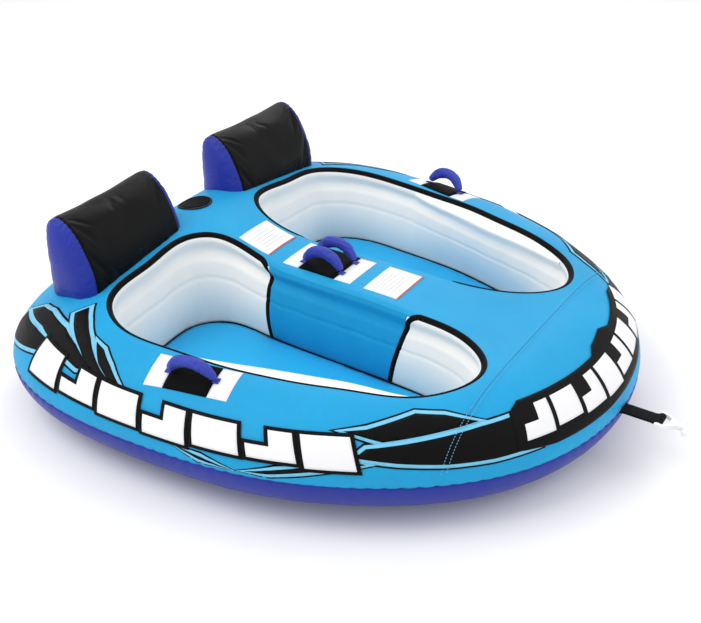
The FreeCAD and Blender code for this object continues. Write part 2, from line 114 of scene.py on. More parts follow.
STRAP_LAYER = 0.0016          # from the strap's middle plane to the middle of either layer
STRAP_SEAMS = (0.862, 0.868, 0.896, 0.902, 0.912)
HOOK_BAR_X = 0.938
BAR_TURN_R = 0.0087           # the webbing turns round the hook's bar at this radius
VALVE_AT = (-0.600, 0.0)
VALVE_HOLE_R = 0.042
VALVE_FLAP_R = 0.055
CLOTH = 0.002                 # thickness of the covers
PUCKERS = 148                 # gathers of the cloth round the side seam
SIDE_TOP = 55.0               # the ringed part of the cover ends at this angle; a triangle net goes on
HULL_HALF = [(837, 0), (813, 185), (742, 356), (630, 500), (493, 612), (344, 697), (189, 759),
             (26, 796), (-143, 814), (-324, 819), (-517, 795), (-696, 709), (-810, 547),
             (-835, 346), (-805, 159), (-785, 0)]
COCKPIT = [(-479, 177), (-424, 116), (-250, 103), (0, 112), (249, 119), (437, 155), (533, 256),
           (486, 392), (277, 508), (48, 572), (-200, 598), (-386, 585), (-472, 514), (-486, 345)]
MM = 0.001
CAMERA_AT = (1.514, -2.401, 1.891)
CAMERA_AZIMUTH = 32.58
CAMERA_ELEVATION = 31.16
LENS = 57.1
SENSOR = 36.0
SIDES = ((False, "left"), (True, "right"))   # whether a side is the mirrored one, and its name


# ---------------------------------------------------------------- camera

def make_camera():
    """Camera at the photograph's viewing angle."""
    azimuth, elevation = math.radians(CAMERA_AZIMUTH), math.radians(CAMERA_ELEVATION)
    back = Vector((math.sin(azimuth) * math.cos(elevation), -math.cos(azimuth) * math.cos(elevation),
                   math.sin(elevation)))
    right = Vector((math.cos(azimuth), math.sin(azimuth), 0))
    up = back.cross(right)
    data = bpy.data.cameras.new("camera")
    data.lens = LENS
    data.sensor_width = SENSOR
    data.dof.use_dof = False
    camera = bpy.data.objects.new("camera", data)
    SCENE.collection.objects.link(camera)
    turned = Matrix((right, up, back)).transposed().to_4x4()
    camera.matrix_world = Matrix.Translation(CAMERA_AT) @ turned
    SCENE.camera = camera


make_camera()


# ---------------------------------------------------------------- materials

def socket_set(shader, **values):
    """Set inputs of a shader by their names, with underscores for spaces."""
    for name, value in values.items():
        shader.inputs[name.replace("_", " ")].default_value = value


class Paint:
    """Node material under construction, with short names for the nodes used here."""

    def __init__(self, name):
        self.material = bpy.data.materials.new(name)
        self.material.use_nodes = True
        self.tree = self.material.node_tree
        self.shader = self.tree.nodes["Principled BSDF"]

    def node(self, kind, **values):
        """New node; a value whose name starts with in_ belongs to the input of that name."""
        made = self.tree.nodes.new(kind)
        for key, value in values.items():
            if key.startswith("in_"):
                made.inputs[key[3:].replace("_", " ")].default_value = value
            else:
                setattr(made, key, value)
        return made

    def link(self, source, target):
        self.tree.links.new(source, target)

    def coordinates(self, use_uv):
        return self.node("ShaderNodeTexCoord").outputs["UV" if use_uv else "Object"]

    def math(self, operation, first, second):
        """Result of an operation on two sockets or numbers."""
        made = self.node("ShaderNodeMath", operation=operation)
        for place, value in enumerate((first, second)):
            if isinstance(value, (int, float)):
                made.inputs[place].default_value = value
            else:
                self.link(value, made.inputs[place])
        return made.outputs[0]

    def noise(self, where, scale, detail=3.0, rough=0.55):
        made = self.node("ShaderNodeTexNoise", in_Scale=scale, in_Detail=detail, in_Roughness=rough)
        self.link(where, made.inputs["Vector"])
        return made.outputs["Fac"]

    def weave(self, where, pitch):
        """Height of a plain weave whose threads lie this far apart."""
        waves = []
        for direction in ("X", "Y"):
            made = self.node("ShaderNodeTexWave", bands_direction=direction, wave_profile="SIN",
                             in_Scale=0.314 / pitch, in_Distortion=0.0)
            self.link(where, made.inputs["Vector"])
            waves.append(made.outputs["Fac"])
        return self.math("MULTIPLY", waves[0], waves[1])

    def ramp(self, factor, low, high, start=0.3, end=0.7):
        """Colour that goes from low to high as the factor goes from start to end."""
        made = self.node("ShaderNodeValToRGB")
        made.color_ramp.elements[0].position = start
        made.color_ramp.elements[1].position = end
        made.color_ramp.elements[0].color = (*low, 1)
        made.color_ramp.elements[1].color = (*high, 1)
        self.link(factor, made.inputs["Fac"])
        return made.outputs["Color"]

    def bump(self, height, distance, strength=1.0, under=None):
        """Shaded normal of a height, which may lie over another one."""
        made = self.node("ShaderNodeBump", in_Distance=distance, in_Strength=strength)
        self.link(height, made.inputs["Height"])
        if under is not None:
            self.link(under, made.inputs["Normal"])
        return made.outputs["Normal"]


def shade(colour, factor):
    """A colour made lighter or darker."""
    return tuple(min(1.0, channel * factor) for channel in colour)


def cloth_material(name, colour, pitch, rough, sheen, spread=0.08, thread=0.0003, creases=0.0012,
                   use_uv=True, gloss=0.3):
    """Woven cloth: threads, slight shade changes along the panel, soft creases and worn patches."""
    paint = Paint(name)
    where = paint.coordinates(use_uv)
    body = paint.coordinates(False)
    threads = paint.weave(where, pitch)
    broad = paint.noise(body, 3.0, 4.0)
    fine = paint.noise(body, 55.0, 2.0)
    tone = paint.math("ADD", paint.math("MULTIPLY", broad, 0.75), paint.math("MULTIPLY", fine, 0.25))
    base = paint.ramp(tone, shade(colour, 1 - spread), shade(colour, 1 + spread))
    mix = paint.node("ShaderNodeMix", data_type="RGBA", blend_type="MULTIPLY")
    paint.link(base, mix.inputs["A"])
    grain = paint.ramp(threads, (0.86, 0.86, 0.87), (1, 1, 1), 0.0, 0.6)
    paint.link(grain, mix.inputs["B"])
    mix.inputs["Factor"].default_value = 0.6
    paint.link(mix.outputs["Result"], paint.shader.inputs["Base Color"])
    wear = paint.noise(body, 9.0, 5.0)
    dull = paint.node("ShaderNodeMapRange", in_From_Min=0.3, in_From_Max=0.7, in_To_Min=rough - 0.06,
                      in_To_Max=rough + 0.08)
    paint.link(wear, dull.inputs["Value"])
    paint.link(dull.outputs["Result"], paint.shader.inputs["Roughness"])
    soft = paint.bump(paint.noise(body, 14.0, 3.0), creases, 0.5)
    normal = paint.bump(threads, thread, 0.6, soft)
    paint.link(normal, paint.shader.inputs["Normal"])
    socket_set(paint.shader, Sheen_Weight=sheen, Sheen_Roughness=0.45, Specular_IOR_Level=gloss)
    return paint.material


def plastic_material(name, colour, rough, coat=0.0, grain=0.00015, metallic=0.0):
    """Moulded plastic or metal: fine grain, uneven gloss, handling marks."""
    paint = Paint(name)
    body = paint.coordinates(False)
    tone = paint.noise(body, 18.0, 4.0)
    base = paint.ramp(tone, shade(colour, 0.93), shade(colour, 1.05))
    paint.link(base, paint.shader.inputs["Base Color"])
    gloss = paint.node("ShaderNodeMapRange", in_From_Min=0.3, in_From_Max=0.7, in_To_Min=rough - 0.05,
                       in_To_Max=rough + 0.1)
    paint.link(paint.noise(body, 60.0, 5.0), gloss.inputs["Value"])
    paint.link(gloss.outputs["Result"], paint.shader.inputs["Roughness"])
    paint.link(paint.bump(paint.noise(body, 900.0, 2.0), grain, 0.5), paint.shader.inputs["Normal"])
    socket_set(paint.shader, Metallic=metallic, Coat_Weight=coat)
    return paint.material


SKY = (0.012, 0.335, 0.64)
ROYAL = (0.010, 0.025, 0.30)
WALL_WHITE = (0.99, 0.945, 0.885)
BLACK = (0.0016, 0.0016, 0.0018)
PRINT_BLACK = (0.0013, 0.0013, 0.0014)
# colour, thread pitch, roughness, sheen, and what differs from the usual cloth
CLOTHS = {
    "cover_blue": (SKY, 0.0016, 0.46, 0.03, {"gloss": 0.15}),
    "floor_blue": ((0.025, 0.46, 0.86), 0.0016, 0.46, 0.03, {"gloss": 0.15}),
    "band_blue": (ROYAL, 0.0016, 0.44, 0.05, {}),
    "end_blue": (ROYAL, 0.0016, 0.42, 0.05, {"creases": 0.002, "use_uv": False}),
    "wall_white": (WALL_WHITE, 0.0016, 0.5, 0.05, {"spread": 0.02}),
    "wrap_black": (BLACK, 0.0014, 0.36, 0.03,
                   {"spread": 0.15, "creases": 0.002, "use_uv": False, "gloss": 0.1}),
    "binding_black": (BLACK, 0.0022, 0.62, 0.02, {"spread": 0.2, "thread": 0.0005, "gloss": 0.08}),
    "pad_black": (PRINT_BLACK, 0.0011, 0.7, 0.02, {"spread": 0.2, "gloss": 0.08}),
    "grip_blue": ((0.030, 0.050, 0.40), 0.0014, 0.5, 0.06, {"creases": 0.002, "use_uv": False}),
    "patch_white": ((0.88, 0.88, 0.90), 0.0014, 0.45, 0.1, {"spread": 0.02}),
    "webbing_black": (BLACK, 0.003, 0.55, 0.03,
                      {"spread": 0.25, "thread": 0.0009, "use_uv": False, "gloss": 0.08}),
    "print_black": (PRINT_BLACK, 0.0016, 0.44, 0.0, {"spread": 0.2, "gloss": 0.1}),
    "print_white": ((0.86, 0.86, 0.88), 0.0016, 0.46, 0.1, {"spread": 0.02}),
    "print_pale": ((0.17, 0.56, 0.80), 0.0016, 0.46, 0.2, {}),
    "hem_red": ((0.42, 0.09, 0.06), 0.0012, 0.6, 0.1, {}),
    "thread_grey": ((0.55, 0.60, 0.66), 0.0004, 0.6, 0.1, {"use_uv": False}),
    "thread_blue": ((0.16, 0.50, 0.80), 0.0004, 0.6, 0.1, {"use_uv": False}),
    # painted shade: dark grey cloth for the shaded band under a cockpit's lip
    "lip_grey": ((0.20, 0.21, 0.24), 0.0016, 0.6, 0.0, {}),
    "rule_grey": ((0.55, 0.55, 0.56), 0.0016, 0.5, 0.0, {}),
    "thread_dark": ((0.02, 0.02, 0.022), 0.0004, 0.6, 0.05, {"use_uv": False}),
}
# colour, roughness, and what differs from plain plastic
PLASTICS = {
    "bladder": ((0.03, 0.03, 0.035), 0.35, {}),
    "valve_plastic": ((0.012, 0.012, 0.014), 0.38, {}),
    "zip_black": ((0.01, 0.01, 0.011), 0.5, {}),
    "hook_white": ((0.82, 0.83, 0.84), 0.32, {"coat": 0.15}),
    "metal": ((0.5, 0.5, 0.52), 0.3, {"metallic": 1.0}),
}
MATERIALS = {}
for family, table in ((cloth_material, CLOTHS), (plastic_material, PLASTICS)):
    for name, (*sizes, extras) in table.items():
        MATERIALS[name] = family(name, *sizes, **extras)


# ---------------------------------------------------------------- lines of points

def unit(vectors):
    """Rows of vectors, each brought to length one."""
    return vectors / np.maximum(np.linalg.norm(vectors, axis=-1, keepdims=True), 1e-9)


def lengths(points):
    """Distance along a line from its first point to each of its points."""
    return np.concatenate([[0], np.cumsum(np.linalg.norm(np.diff(points, axis=0), axis=1))])


def picked(stops, run, points):
    """Points at given stops along a line, whose own points lie at the distances in run."""
    return np.column_stack([np.interp(stops, run, points[:, k]) for k in range(points.shape[1])])


def crossed(across, down):
    """Flat coordinates of a net: one value per column, one per row."""
    return np.stack(np.broadcast_arrays(across[None, :], down[:, None]), -1).reshape(-1, 2)


# ---------------------------------------------------------------- plan curves

class Loop:
    """Smooth closed plan curve through a few points, with outward normals and its length."""

    def __init__(self, points, count):
        knots = np.array(points, float) * MM
        size = len(knots)
        gap = np.linalg.norm(np.roll(knots, -1, 0) - knots, axis=1)
        matrix = np.zeros((size, size))
        right = np.zeros((size, 2))
        for i in range(size):
            before, after = gap[i - 1], gap[i]
            matrix[i, i - 1] += before
            matrix[i, i] += 2 * (before + after)
            matrix[i, (i + 1) % size] += after
            right[i] = 6 * ((knots[(i + 1) % size] - knots[i]) / after - (knots[i] - knots[i - 1]) / before)
        bend = np.linalg.solve(matrix, right)
        dense = []
        for i in range(size):
            j = (i + 1) % size
            along = np.linspace(0, gap[i], 200, endpoint=False)[:, None]
            left = gap[i] - along
            dense.append((bend[i] * left ** 3 + bend[j] * along ** 3) / (6 * gap[i])
                         + (knots[i] / gap[i] - bend[i] * gap[i] / 6) * left
                         + (knots[j] / gap[i] - bend[j] * gap[i] / 6) * along)
        dense = np.vstack(dense)
        closed = np.vstack([dense, dense[:1]])
        run = lengths(closed)
        self.length = run[-1]
        self.count = count
        stops = np.arange(count) * self.length / count
        self.points = picked(stops, run, closed)
        tangent = unit(np.roll(self.points, -1, 0) - np.roll(self.points, 1, 0))
        self.normals = np.column_stack([tangent[:, 1], -tangent[:, 0]])
        self.tree = kdtree.KDTree(len(dense))
        for place, (x, y) in enumerate(dense):
            self.tree.insert((x, y, 0), place)
        self.tree.balance()

    def at(self, distance):
        """Points and normals at distances along the curve, which may run past its end."""
        place = np.mod(np.asarray(distance, float) / self.length, 1.0) * self.count
        first = np.floor(place).astype(int) % self.count
        share = (place - np.floor(place))[..., None]
        after = (first + 1) % self.count
        point = self.points[first] * (1 - share) + self.points[after] * share
        normal = self.normals[first] * (1 - share) + self.normals[after] * share
        return point, unit(normal)

    def gap_to(self, plan):
        """Distance from plan points to the curve."""
        return np.array([self.tree.find((x, y, 0))[2] for x, y in plan])

    def nearest(self, plan):
        """Nearest points of the curve."""
        return np.array([self.tree.find((x, y, 0))[0][:2] for x, y in plan])

    def run_near(self, x, y):
        """Distance along the curve of its point nearest to (x, y)."""
        nearest = np.argmin(np.linalg.norm(self.points - (x, y), axis=1))
        return nearest * self.length / self.count


def inside_polygon(plan, corners):
    """Which plan points lie inside a polygon."""
    inside = np.zeros(len(plan), bool)
    ahead = np.roll(corners, -1, 0)
    for (x0, y0), (x1, y1) in zip(corners, ahead):
        crosses = (y0 > plan[:, 1]) != (y1 > plan[:, 1])
        if y0 != y1:
            inside ^= crosses & (plan[:, 0] < (x1 - x0) * (plan[:, 1] - y0) / (y1 - y0) + x0)
    return inside


HULL = Loop(HULL_HALF + [(x, -y) for x, y in HULL_HALF[-2:0:-1]], 864)
PORT = Loop(COCKPIT, 432)
PANEL_LOW, PANEL_HIGH = PORT.run_near(PANEL_REAR, 0.1), PORT.run_near(PANEL_FRONT, 0.11)
PANEL_NEXT = PANEL_LOW + PORT.length   # the panel's rear edge, reached by going on round the opening
MIRROR = np.array([1.0, -1.0])


def deck_sag(plan):
    """Droop of the deck towards the two cockpit openings, by symmetry."""
    folded = np.abs(plan[:, 1])
    gap = PORT.gap_to(np.column_stack([plan[:, 0], folded]))
    return -SAG * np.clip(1 - gap / SAG_REACH, 0, 1) ** 2.5


def eased(share):
    """Slow start and end between 0 and 1."""
    share = np.clip(share, 0, 1)
    return share * share * (3 - 2 * share)


def deck_form(plan):
    """Height of the deck inside its rounded crown."""
    aft = eased((HUMP_START - plan[:, 0]) / HUMP_RUN)
    return DECK_Z + HUMP * aft * np.exp(-(plan[:, 1] / HUMP_WIDTH) ** 2)


def crown_width(outline):
    """Plan width of the crown at points of the outline."""
    aft = eased((CORNER_START - outline[:, 0]) / CORNER_RUN)
    return CROWN + CORNER * aft * eased(np.abs(outline[:, 1]) / CORNER_SIDE)


def swell(plan):
    """Slow unevenness of the inflated deck."""
    x, y = plan[:, 0], np.abs(plan[:, 1])
    return 0.0016 * np.sin(9.1 * x + 1.3) * np.sin(7.3 * y + 0.4) + 0.0009 * np.sin(23 * x - 11 * y)


def deck_height(plan):
    """Height of the top cover over plan points."""
    plan = np.atleast_2d(plan)
    near = HULL.nearest(plan)
    gap = np.linalg.norm(plan - near, axis=1)
    share = np.clip(gap / crown_width(near), 0, 1)
    rise = deck_form(plan) - SEAM_Z
    fade = np.clip(share * 2, 0, 1)
    return SEAM_Z + rise * np.sqrt(1 - (1 - share) ** 2) + fade * (deck_sag(plan) + swell(plan))


def on_deck(plan, lift=0.0):
    """Points over the deck, lifted along its normal."""
    plan = np.atleast_2d(np.asarray(plan, float))
    reach = 0.004
    height = deck_height(plan)
    slope_x = (deck_height(plan + (reach, 0)) - deck_height(plan - (reach, 0))) / (2 * reach)
    slope_y = (deck_height(plan + (0, reach)) - deck_height(plan - (0, reach))) / (2 * reach)
    normal = unit(np.column_stack([-slope_x, -slope_y, np.ones(len(plan))]))
    return np.column_stack([plan, height]) + normal * np.broadcast_to(lift, len(plan))[:, None]


def pucker(run, rise):
    """How far the cloth is drawn in near the side seam, at a run along it and a rise over it."""
    phase = run / HULL.length * 2 * math.pi
    wander = 0.9 * np.sin(5 * phase) + 0.6 * np.sin(13 * phase + 1.0)
    gather = np.abs(np.sin(PUCKERS / 2 * phase + wander))
    strength = 0.65 + 0.35 * np.sin(9 * phase + 2.0)
    reach = 0.020 + 0.010 * np.sin(17 * phase) ** 2
    return -0.0042 * strength * (1 - gather ** 0.7) * np.exp(-np.abs(rise) / reach) - 0.002 * np.exp(
        -np.abs(rise) / 0.006)


def on_side(run, angle, lift=0.0):
    """Points on the hull's side: a run along the seam, and an angle from -90 (ground) to 90 (deck)."""
    run, angle = np.broadcast_arrays(np.asarray(run, float), np.radians(np.asarray(angle, float)))
    shape = run.shape
    run, angle = run.ravel(), angle.ravel()
    point, normal = HULL.at(run)
    width = np.where(angle > 0, crown_width(point), BILGE)
    plan = point - normal * (width * (1 - np.cos(angle)))[:, None]
    rise = np.where(angle > 0, deck_form(plan) - SEAM_Z, SEAM_Z)
    height = SEAM_Z + rise * np.sin(angle)
    share = np.clip(1 - np.cos(angle), 0, 1)
    above = angle > 0.35
    extra = np.zeros(len(run))
    if above.any():
        fade = np.clip(share[above] * 2, 0, 1)
        extra[above] = fade * (deck_sag(plan[above]) + swell(plan[above]))
    steep = np.sin(angle) / np.maximum(rise, 0.05)
    out = unit(np.column_stack([normal * (np.cos(angle) / width)[:, None], steep]))
    drawn = pucker(run, angle * CROWN) + lift
    placed = np.column_stack([plan, height + extra]) + out * drawn[:, None]
    return placed.reshape(*shape, 3)


# ---------------------------------------------------------------- mesh helpers

def make_object(name, vertices, faces, uvs=None):
    """New mesh object, with flat coordinates in metres for its cloth."""
    mesh = bpy.data.meshes.new(name)
    mesh.from_pydata([tuple(v) for v in vertices], [], [tuple(f) for f in faces])
    if uvs is not None:
        layer = mesh.uv_layers.new(name="metres")
        corner = np.zeros(len(mesh.loops), np.int32)
        mesh.loops.foreach_get("vertex_index", corner)
        layer.data.foreach_set("uv", np.asarray(uvs, np.float32)[corner].ravel())
    mesh.shade_smooth()
    made = bpy.data.objects.new(name, mesh)
    SCENE.collection.objects.link(made)
    return made


def grid_faces(rows, columns, closed=False, start=0):
    """Four-cornered faces of a net of points; a closed one joins its last column to the first."""
    faces = []
    last = columns if closed else columns - 1
    for i in range(rows - 1):
        for j in range(last):
            k = (j + 1) % columns
            faces.append((start + i * columns + j, start + i * columns + k,
                          start + (i + 1) * columns + k, start + (i + 1) * columns + j))
    return faces


def sheet(name, spots, uvs, closed=False):
    """Object made of one net of points."""
    faces = grid_faces(*spots.shape[:2], closed)
    return make_object(name, spots.reshape(-1, 3), faces, uvs.reshape(-1, 2))


def edit_net(piece, change):
    """Let a function change a piece's mesh as an editable net."""
    net = bmesh.new()
    net.from_mesh(piece.data)
    change(net)
    net.to_mesh(piece.data)
    net.free()


def recalc(piece):
    """Turn all faces of a closed or even piece the same way."""
    edit_net(piece, lambda net: bmesh.ops.recalc_face_normals(net, faces=net.faces))


def copied(piece, name):
    """A piece's twin, with a mesh of its own."""
    twin = piece.copy()
    twin.data = piece.data.copy()
    twin.name = name
    SCENE.collection.objects.link(twin)
    return twin


def finish_piece(piece, material, body, *nodes, thick=None):
    """Give a piece its material, thickness, body and the CAD nodes that it stands for."""
    piece.data.materials.clear()
    piece.data.materials.append(MATERIALS[material])
    if thick:
        solid = piece.modifiers.new("thickness", "SOLIDIFY")
        solid.thickness = thick
        solid.offset = -1.0
        solid.use_even_offset = False
        apply_modifiers(piece)
    if nodes:
        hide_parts(*nodes)
    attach(piece, body)
    return piece


def apply_modifiers(piece):
    """Make a piece's modifiers part of its mesh."""
    bpy.context.view_layer.update()
    graph = bpy.context.evaluated_depsgraph_get()
    fresh = bpy.data.meshes.new_from_object(piece.evaluated_get(graph), depsgraph=graph)
    piece.modifiers.clear()
    piece.data = fresh


def triangulated(boundaries, spacing, keep):
    """Triangles over a plan region: its boundary loops, a staggered inner grid, and a test for inside."""
    points = []
    edges = []
    for loop in boundaries:
        start = len(points)
        points += [tuple(p) for p in loop]
        edges += [(start + i, start + (i + 1) % len(loop)) for i in range(len(loop))]
    rim = np.array(points)
    low, high = rim.min(0), rim.max(0)
    tree = kdtree.KDTree(len(rim))
    for place, (x, y) in enumerate(rim):
        tree.insert((x, y, 0), place)
    tree.balance()
    grid = []
    for row, y in enumerate(np.arange(low[1], high[1], spacing * 0.87)):
        for x in np.arange(low[0] + (row % 2) * spacing / 2, high[0], spacing):
            if tree.find((x, y, 0))[2] > spacing * 0.6:
                grid.append((x, y))
    grid = np.array(grid) if grid else np.zeros((0, 2))
    if len(grid):
        grid = grid[keep(grid)]
    every = np.vstack([rim, grid])
    result = geometry.delaunay_2d_cdt([Vector(p) for p in every], edges, [], 0, 1e-7)
    found = np.array([tuple(v) for v in result[0]])
    faces = np.array(result[2])
    centres = found[faces].mean(1)
    faces = faces[keep(centres)]
    return found, faces


def resampled(corners, step, closed=True):
    """The same polygon with extra points along its edges."""
    corners = np.array(corners, float)
    ahead = np.roll(corners, -1, 0) if closed else corners[1:]
    out = []
    for a, b in zip(corners, ahead):
        pieces = max(1, int(np.ceil(np.linalg.norm(b - a) / step)))
        out += [a + (b - a) * k / pieces for k in range(pieces)]
    if not closed:
        out.append(corners[-1])
    return np.array(out)


def flat_shape(name, corners, mapping, spacing, holes=()):
    """Filled outline, mapped from its flat coordinates onto a surface."""
    rims = [resampled(corners, spacing)] + [resampled(hole, spacing) for hole in holes]

    def keep(points):
        inside = inside_polygon(points, rims[0])
        for hole in rims[1:]:
            inside &= ~inside_polygon(points, hole)
        return inside

    points, faces = triangulated(rims, spacing, keep)
    made = make_object(name, mapping(points), faces, points)
    return face_outwards(made, mapping, points)


def face_outwards(piece, mapping, points):
    """Turn the faces over if they look into the object."""
    lifted = mapping(points, 0.002)
    base = np.array([v.co for v in piece.data.vertices])
    piece.data.update()
    score = 0.0
    for polygon in list(piece.data.polygons)[::7]:
        first = polygon.vertices[0]
        score += Vector(lifted[first] - base[first]).dot(polygon.normal)
    if score < 0:
        piece.data.flip_normals()
    return piece


# ---------------------------------------------------------------- hull covers

def build_cover():
    """Side, deck and the two rolls into the cockpits as one cloth."""
    rows = 44
    angles = np.linspace(0, SIDE_TOP, rows)
    runs = np.arange(HULL.count) * HULL.length / HULL.count
    side = on_side(runs[None, :], angles[:, None])
    inset = crown_width(HULL.points) * (1 - math.cos(math.radians(SIDE_TOP)))
    inner = HULL.points - HULL.normals * inset[:, None]
    lip = PORT.points + PORT.normals * LIP
    turn = np.linspace(0, 2 * math.pi, 60, endpoint=False)
    hole = np.column_stack([VALVE_AT[0] + VALVE_HOLE_R * np.cos(turn), VALVE_HOLE_R * np.sin(turn)])
    openings = [lip, lip * MIRROR, hole]

    def keep(points):
        inside = inside_polygon(points, inner)
        for rim in openings:
            inside &= ~inside_polygon(points, rim)
        return inside

    points, faces = triangulated([inner, *openings], 0.011, keep)
    vertices = [side.reshape(-1, 3), np.column_stack([points, deck_height(points)])]
    uvs = [crossed(runs, np.radians(angles) * CROWN), points]
    every = grid_faces(rows, HULL.count, True) + [tuple(f + len(vertices[0])) for f in faces]
    run = np.arange(PORT.count + 1) * PORT.length / PORT.count
    across = np.linspace(0, COVER_END, 9)
    for mirrored, _ in SIDES:
        every += grid_faces(len(across), len(run), start=sum(map(len, vertices)))
        vertices.append(on_cockpit(run[None, :], across[:, None], 0.0, mirrored).reshape(-1, 3))
        uvs.append(crossed(run, across))
    whole = make_object("cover", np.vstack(vertices), every, np.vstack(uvs))

    def weld(net):
        bmesh.ops.remove_doubles(net, verts=net.verts, dist=0.0004)
        bmesh.ops.recalc_face_normals(net, faces=net.faces)
        highest = max(net.faces, key=lambda face: face.calc_center_median().z)
        if highest.normal.z < 0:
            bmesh.ops.reverse_faces(net, faces=net.faces)

    edit_net(whole, weld)
    return whole


def cut_half(piece, name, point, normal, closed=True):
    """New piece from the part on a plane's far side. A closed one has a face over the cut."""
    half = copied(piece, name)

    def halve(net):
        cut = bmesh.ops.bisect_plane(net, geom=net.verts[:] + net.edges[:] + net.faces[:], plane_co=point,
                                     plane_no=normal, clear_inner=True)
        if closed:
            rim = [item for item in cut["geom_cut"] if isinstance(item, bmesh.types.BMEdge)]
            bmesh.ops.holes_fill(net, edges=rim)
            bmesh.ops.recalc_face_normals(net, faces=net.faces)

    edit_net(half, halve)
    return half


def wall_run(height):
    """Length of the wall from the roll's end to the floor, below a deck of this height."""
    return height - LIP - FLOOR_Z


def on_cockpit(run, depth, lift=0.0, mirrored=False):
    """Points on a cockpit's edge and wall.

    The depth runs from the deck (below 0) over the lip and down the wall to the floor.
    """
    run, depth = np.broadcast_arrays(np.asarray(run, float), np.asarray(depth, float))
    shape = run.shape
    run, depth = run.ravel(), depth.ravel()
    point, normal = PORT.at(run)
    edge = deck_height(point + normal * LIP)
    turn = np.clip(depth / LIP, 0, math.pi / 2)
    wall = np.clip((depth - LIP_RUN) / wall_run(edge), 0, 1)
    off = LIP * (1 - np.sin(turn)) + np.clip(-depth, 0, None)
    off = off + wall_shape(run, wall) - inner_roll(run, depth) * (1 - eased(wall))
    plan = point + normal * off[:, None]
    height = edge - LIP * (1 - np.cos(turn)) - wall * wall_run(edge)
    outer = depth < 0
    if outer.any():
        height[outer] = deck_height(plan[outer])
    out = np.column_stack([-normal * np.sin(turn)[:, None], np.cos(turn)])
    placed = np.column_stack([plan, height]) + out * lift
    if mirrored:
        placed[:, 1] *= -1
    return placed.reshape(*shape, 3)


def roll_window(run):
    """How far the outer wall's roll stands out, from 0 to 1, at runs along the opening."""
    start, end = PORT.run_near(0.46, 0.41), PORT.run_near(-0.14, 0.59)
    share = np.clip((np.mod(run, PORT.length) - start) / (end - start), 0, 1)
    return np.sin(math.pi * share) ** 0.7


def inner_roll(run, depth):
    """Soft roll of the outer wall's top, which stands in past the binding."""
    return ROLL * roll_window(run) * eased((depth - COVER_END) / (LIP_RUN * 0.20))


def wall_shape(run, wall):
    """How far the wall stands back from the opening: shaded hollow under the lip, then a soft swell."""
    phase = run / PORT.length * 2 * math.pi
    hollow = 0.012 * np.sin(np.clip(wall / 0.24, 0, 1) * math.pi) ** 1.5 * (0.75 + 0.25 * np.sin(3 * phase))
    bulge = -0.015 * np.sin(np.clip((wall - 0.2) / 0.8, 0, 1) * math.pi)
    ripple = 0.0012 * np.sin(23 * phase) * np.sin(math.pi * wall)
    seam = 0.0022 * np.exp(-((wall - 0.42) / 0.02) ** 2)
    return hollow + bulge + ripple + seam


def build_walls(mirrored, side):
    """White wall outside the console panel, and the blue panel on the console's side."""
    step = PORT.length / PORT.count
    share = np.linspace(0, 1, 60)[:, None] ** 1.5
    front = PANEL_HIGH - PANEL_SLANT * share
    spans = {"console_panel": (PANEL_LOW, front, PANEL_HIGH - PANEL_LOW, "cover_blue"),
             "cockpit_wall": (front, PANEL_NEXT, PANEL_NEXT - PANEL_HIGH, "wall_white")}
    for name, (start, end, width, material) in spans.items():
        runs = start + (end - start) * np.linspace(0, 1, int(width / step) + 1)
        point, normal = PORT.at(runs[0])
        edge = deck_height(point + normal * LIP)
        depth = WALL_START + (LIP_RUN + wall_run(edge) - WALL_START)[None, :] * share
        spots = on_cockpit(runs, depth, 0.0, mirrored)
        piece = sheet(f"{name}_cloth_{side}", spots, np.stack([runs, depth], -1))
        if not mirrored:
            piece.data.flip_normals()
        finish_piece(piece, material, "hull", f"{name}_{side}", thick=CLOTH)


def ribbon(name, centres, across, normals, width, thick, rows=7):
    """Flat tape with rounded edges along a line of points."""
    profile = []
    for k in range(rows):
        share = 2 * k / (rows - 1) - 1
        profile.append((share * width / 2, thick * (1 - abs(share) ** 4)))
    profile += [(x * 0.98, 0.0) for x, _ in reversed(profile)]
    vertices = []
    for centre, side, out in zip(centres, across, normals):
        for x, z in profile:
            vertices.append(centre + side * x + out * z)
    rows_count, columns = len(centres), len(profile)
    length = lengths(centres)
    uvs = [(length[i], profile[j][0]) for i in range(rows_count) for j in range(columns)]
    faces = grid_faces(rows_count, columns, True)
    faces.append(tuple(range(columns))[::-1])
    faces.append(tuple((rows_count - 1) * columns + j for j in range(columns)))
    return make_object(name, vertices, faces, uvs)


def binding_path():
    """Centre line of the black binding, as runs along the opening and depths down the wall."""
    floor = [LIP_RUN + wall_run(deck_height(PORT.at([edge])[0])[0]) for edge in (PANEL_HIGH, PANEL_LOW)]
    bend_end = BINDING_AT + BEND
    path = [(PANEL_HIGH - PANEL_SLANT * (depth - bend_end) / (floor[0] - bend_end), depth)
            for depth in np.linspace(floor[0], bend_end, 24)]
    turns = np.radians(np.arange(10, 91, 10))
    path += [(PANEL_HIGH + BEND * (1 - math.cos(angle)), BINDING_AT + BEND * (1 - math.sin(angle)))
             for angle in turns]
    path += [(run, BINDING_AT) for run in np.arange(PANEL_HIGH + BEND, PANEL_NEXT - BEND, 0.008)]
    path += [(PANEL_NEXT - BEND * (1 - math.sin(angle)), BINDING_AT + BEND * (1 - math.cos(angle)))
             for angle in turns]
    path += [(PANEL_NEXT, depth) for depth in np.linspace(bend_end, floor[1], 24)]
    return np.array(path)


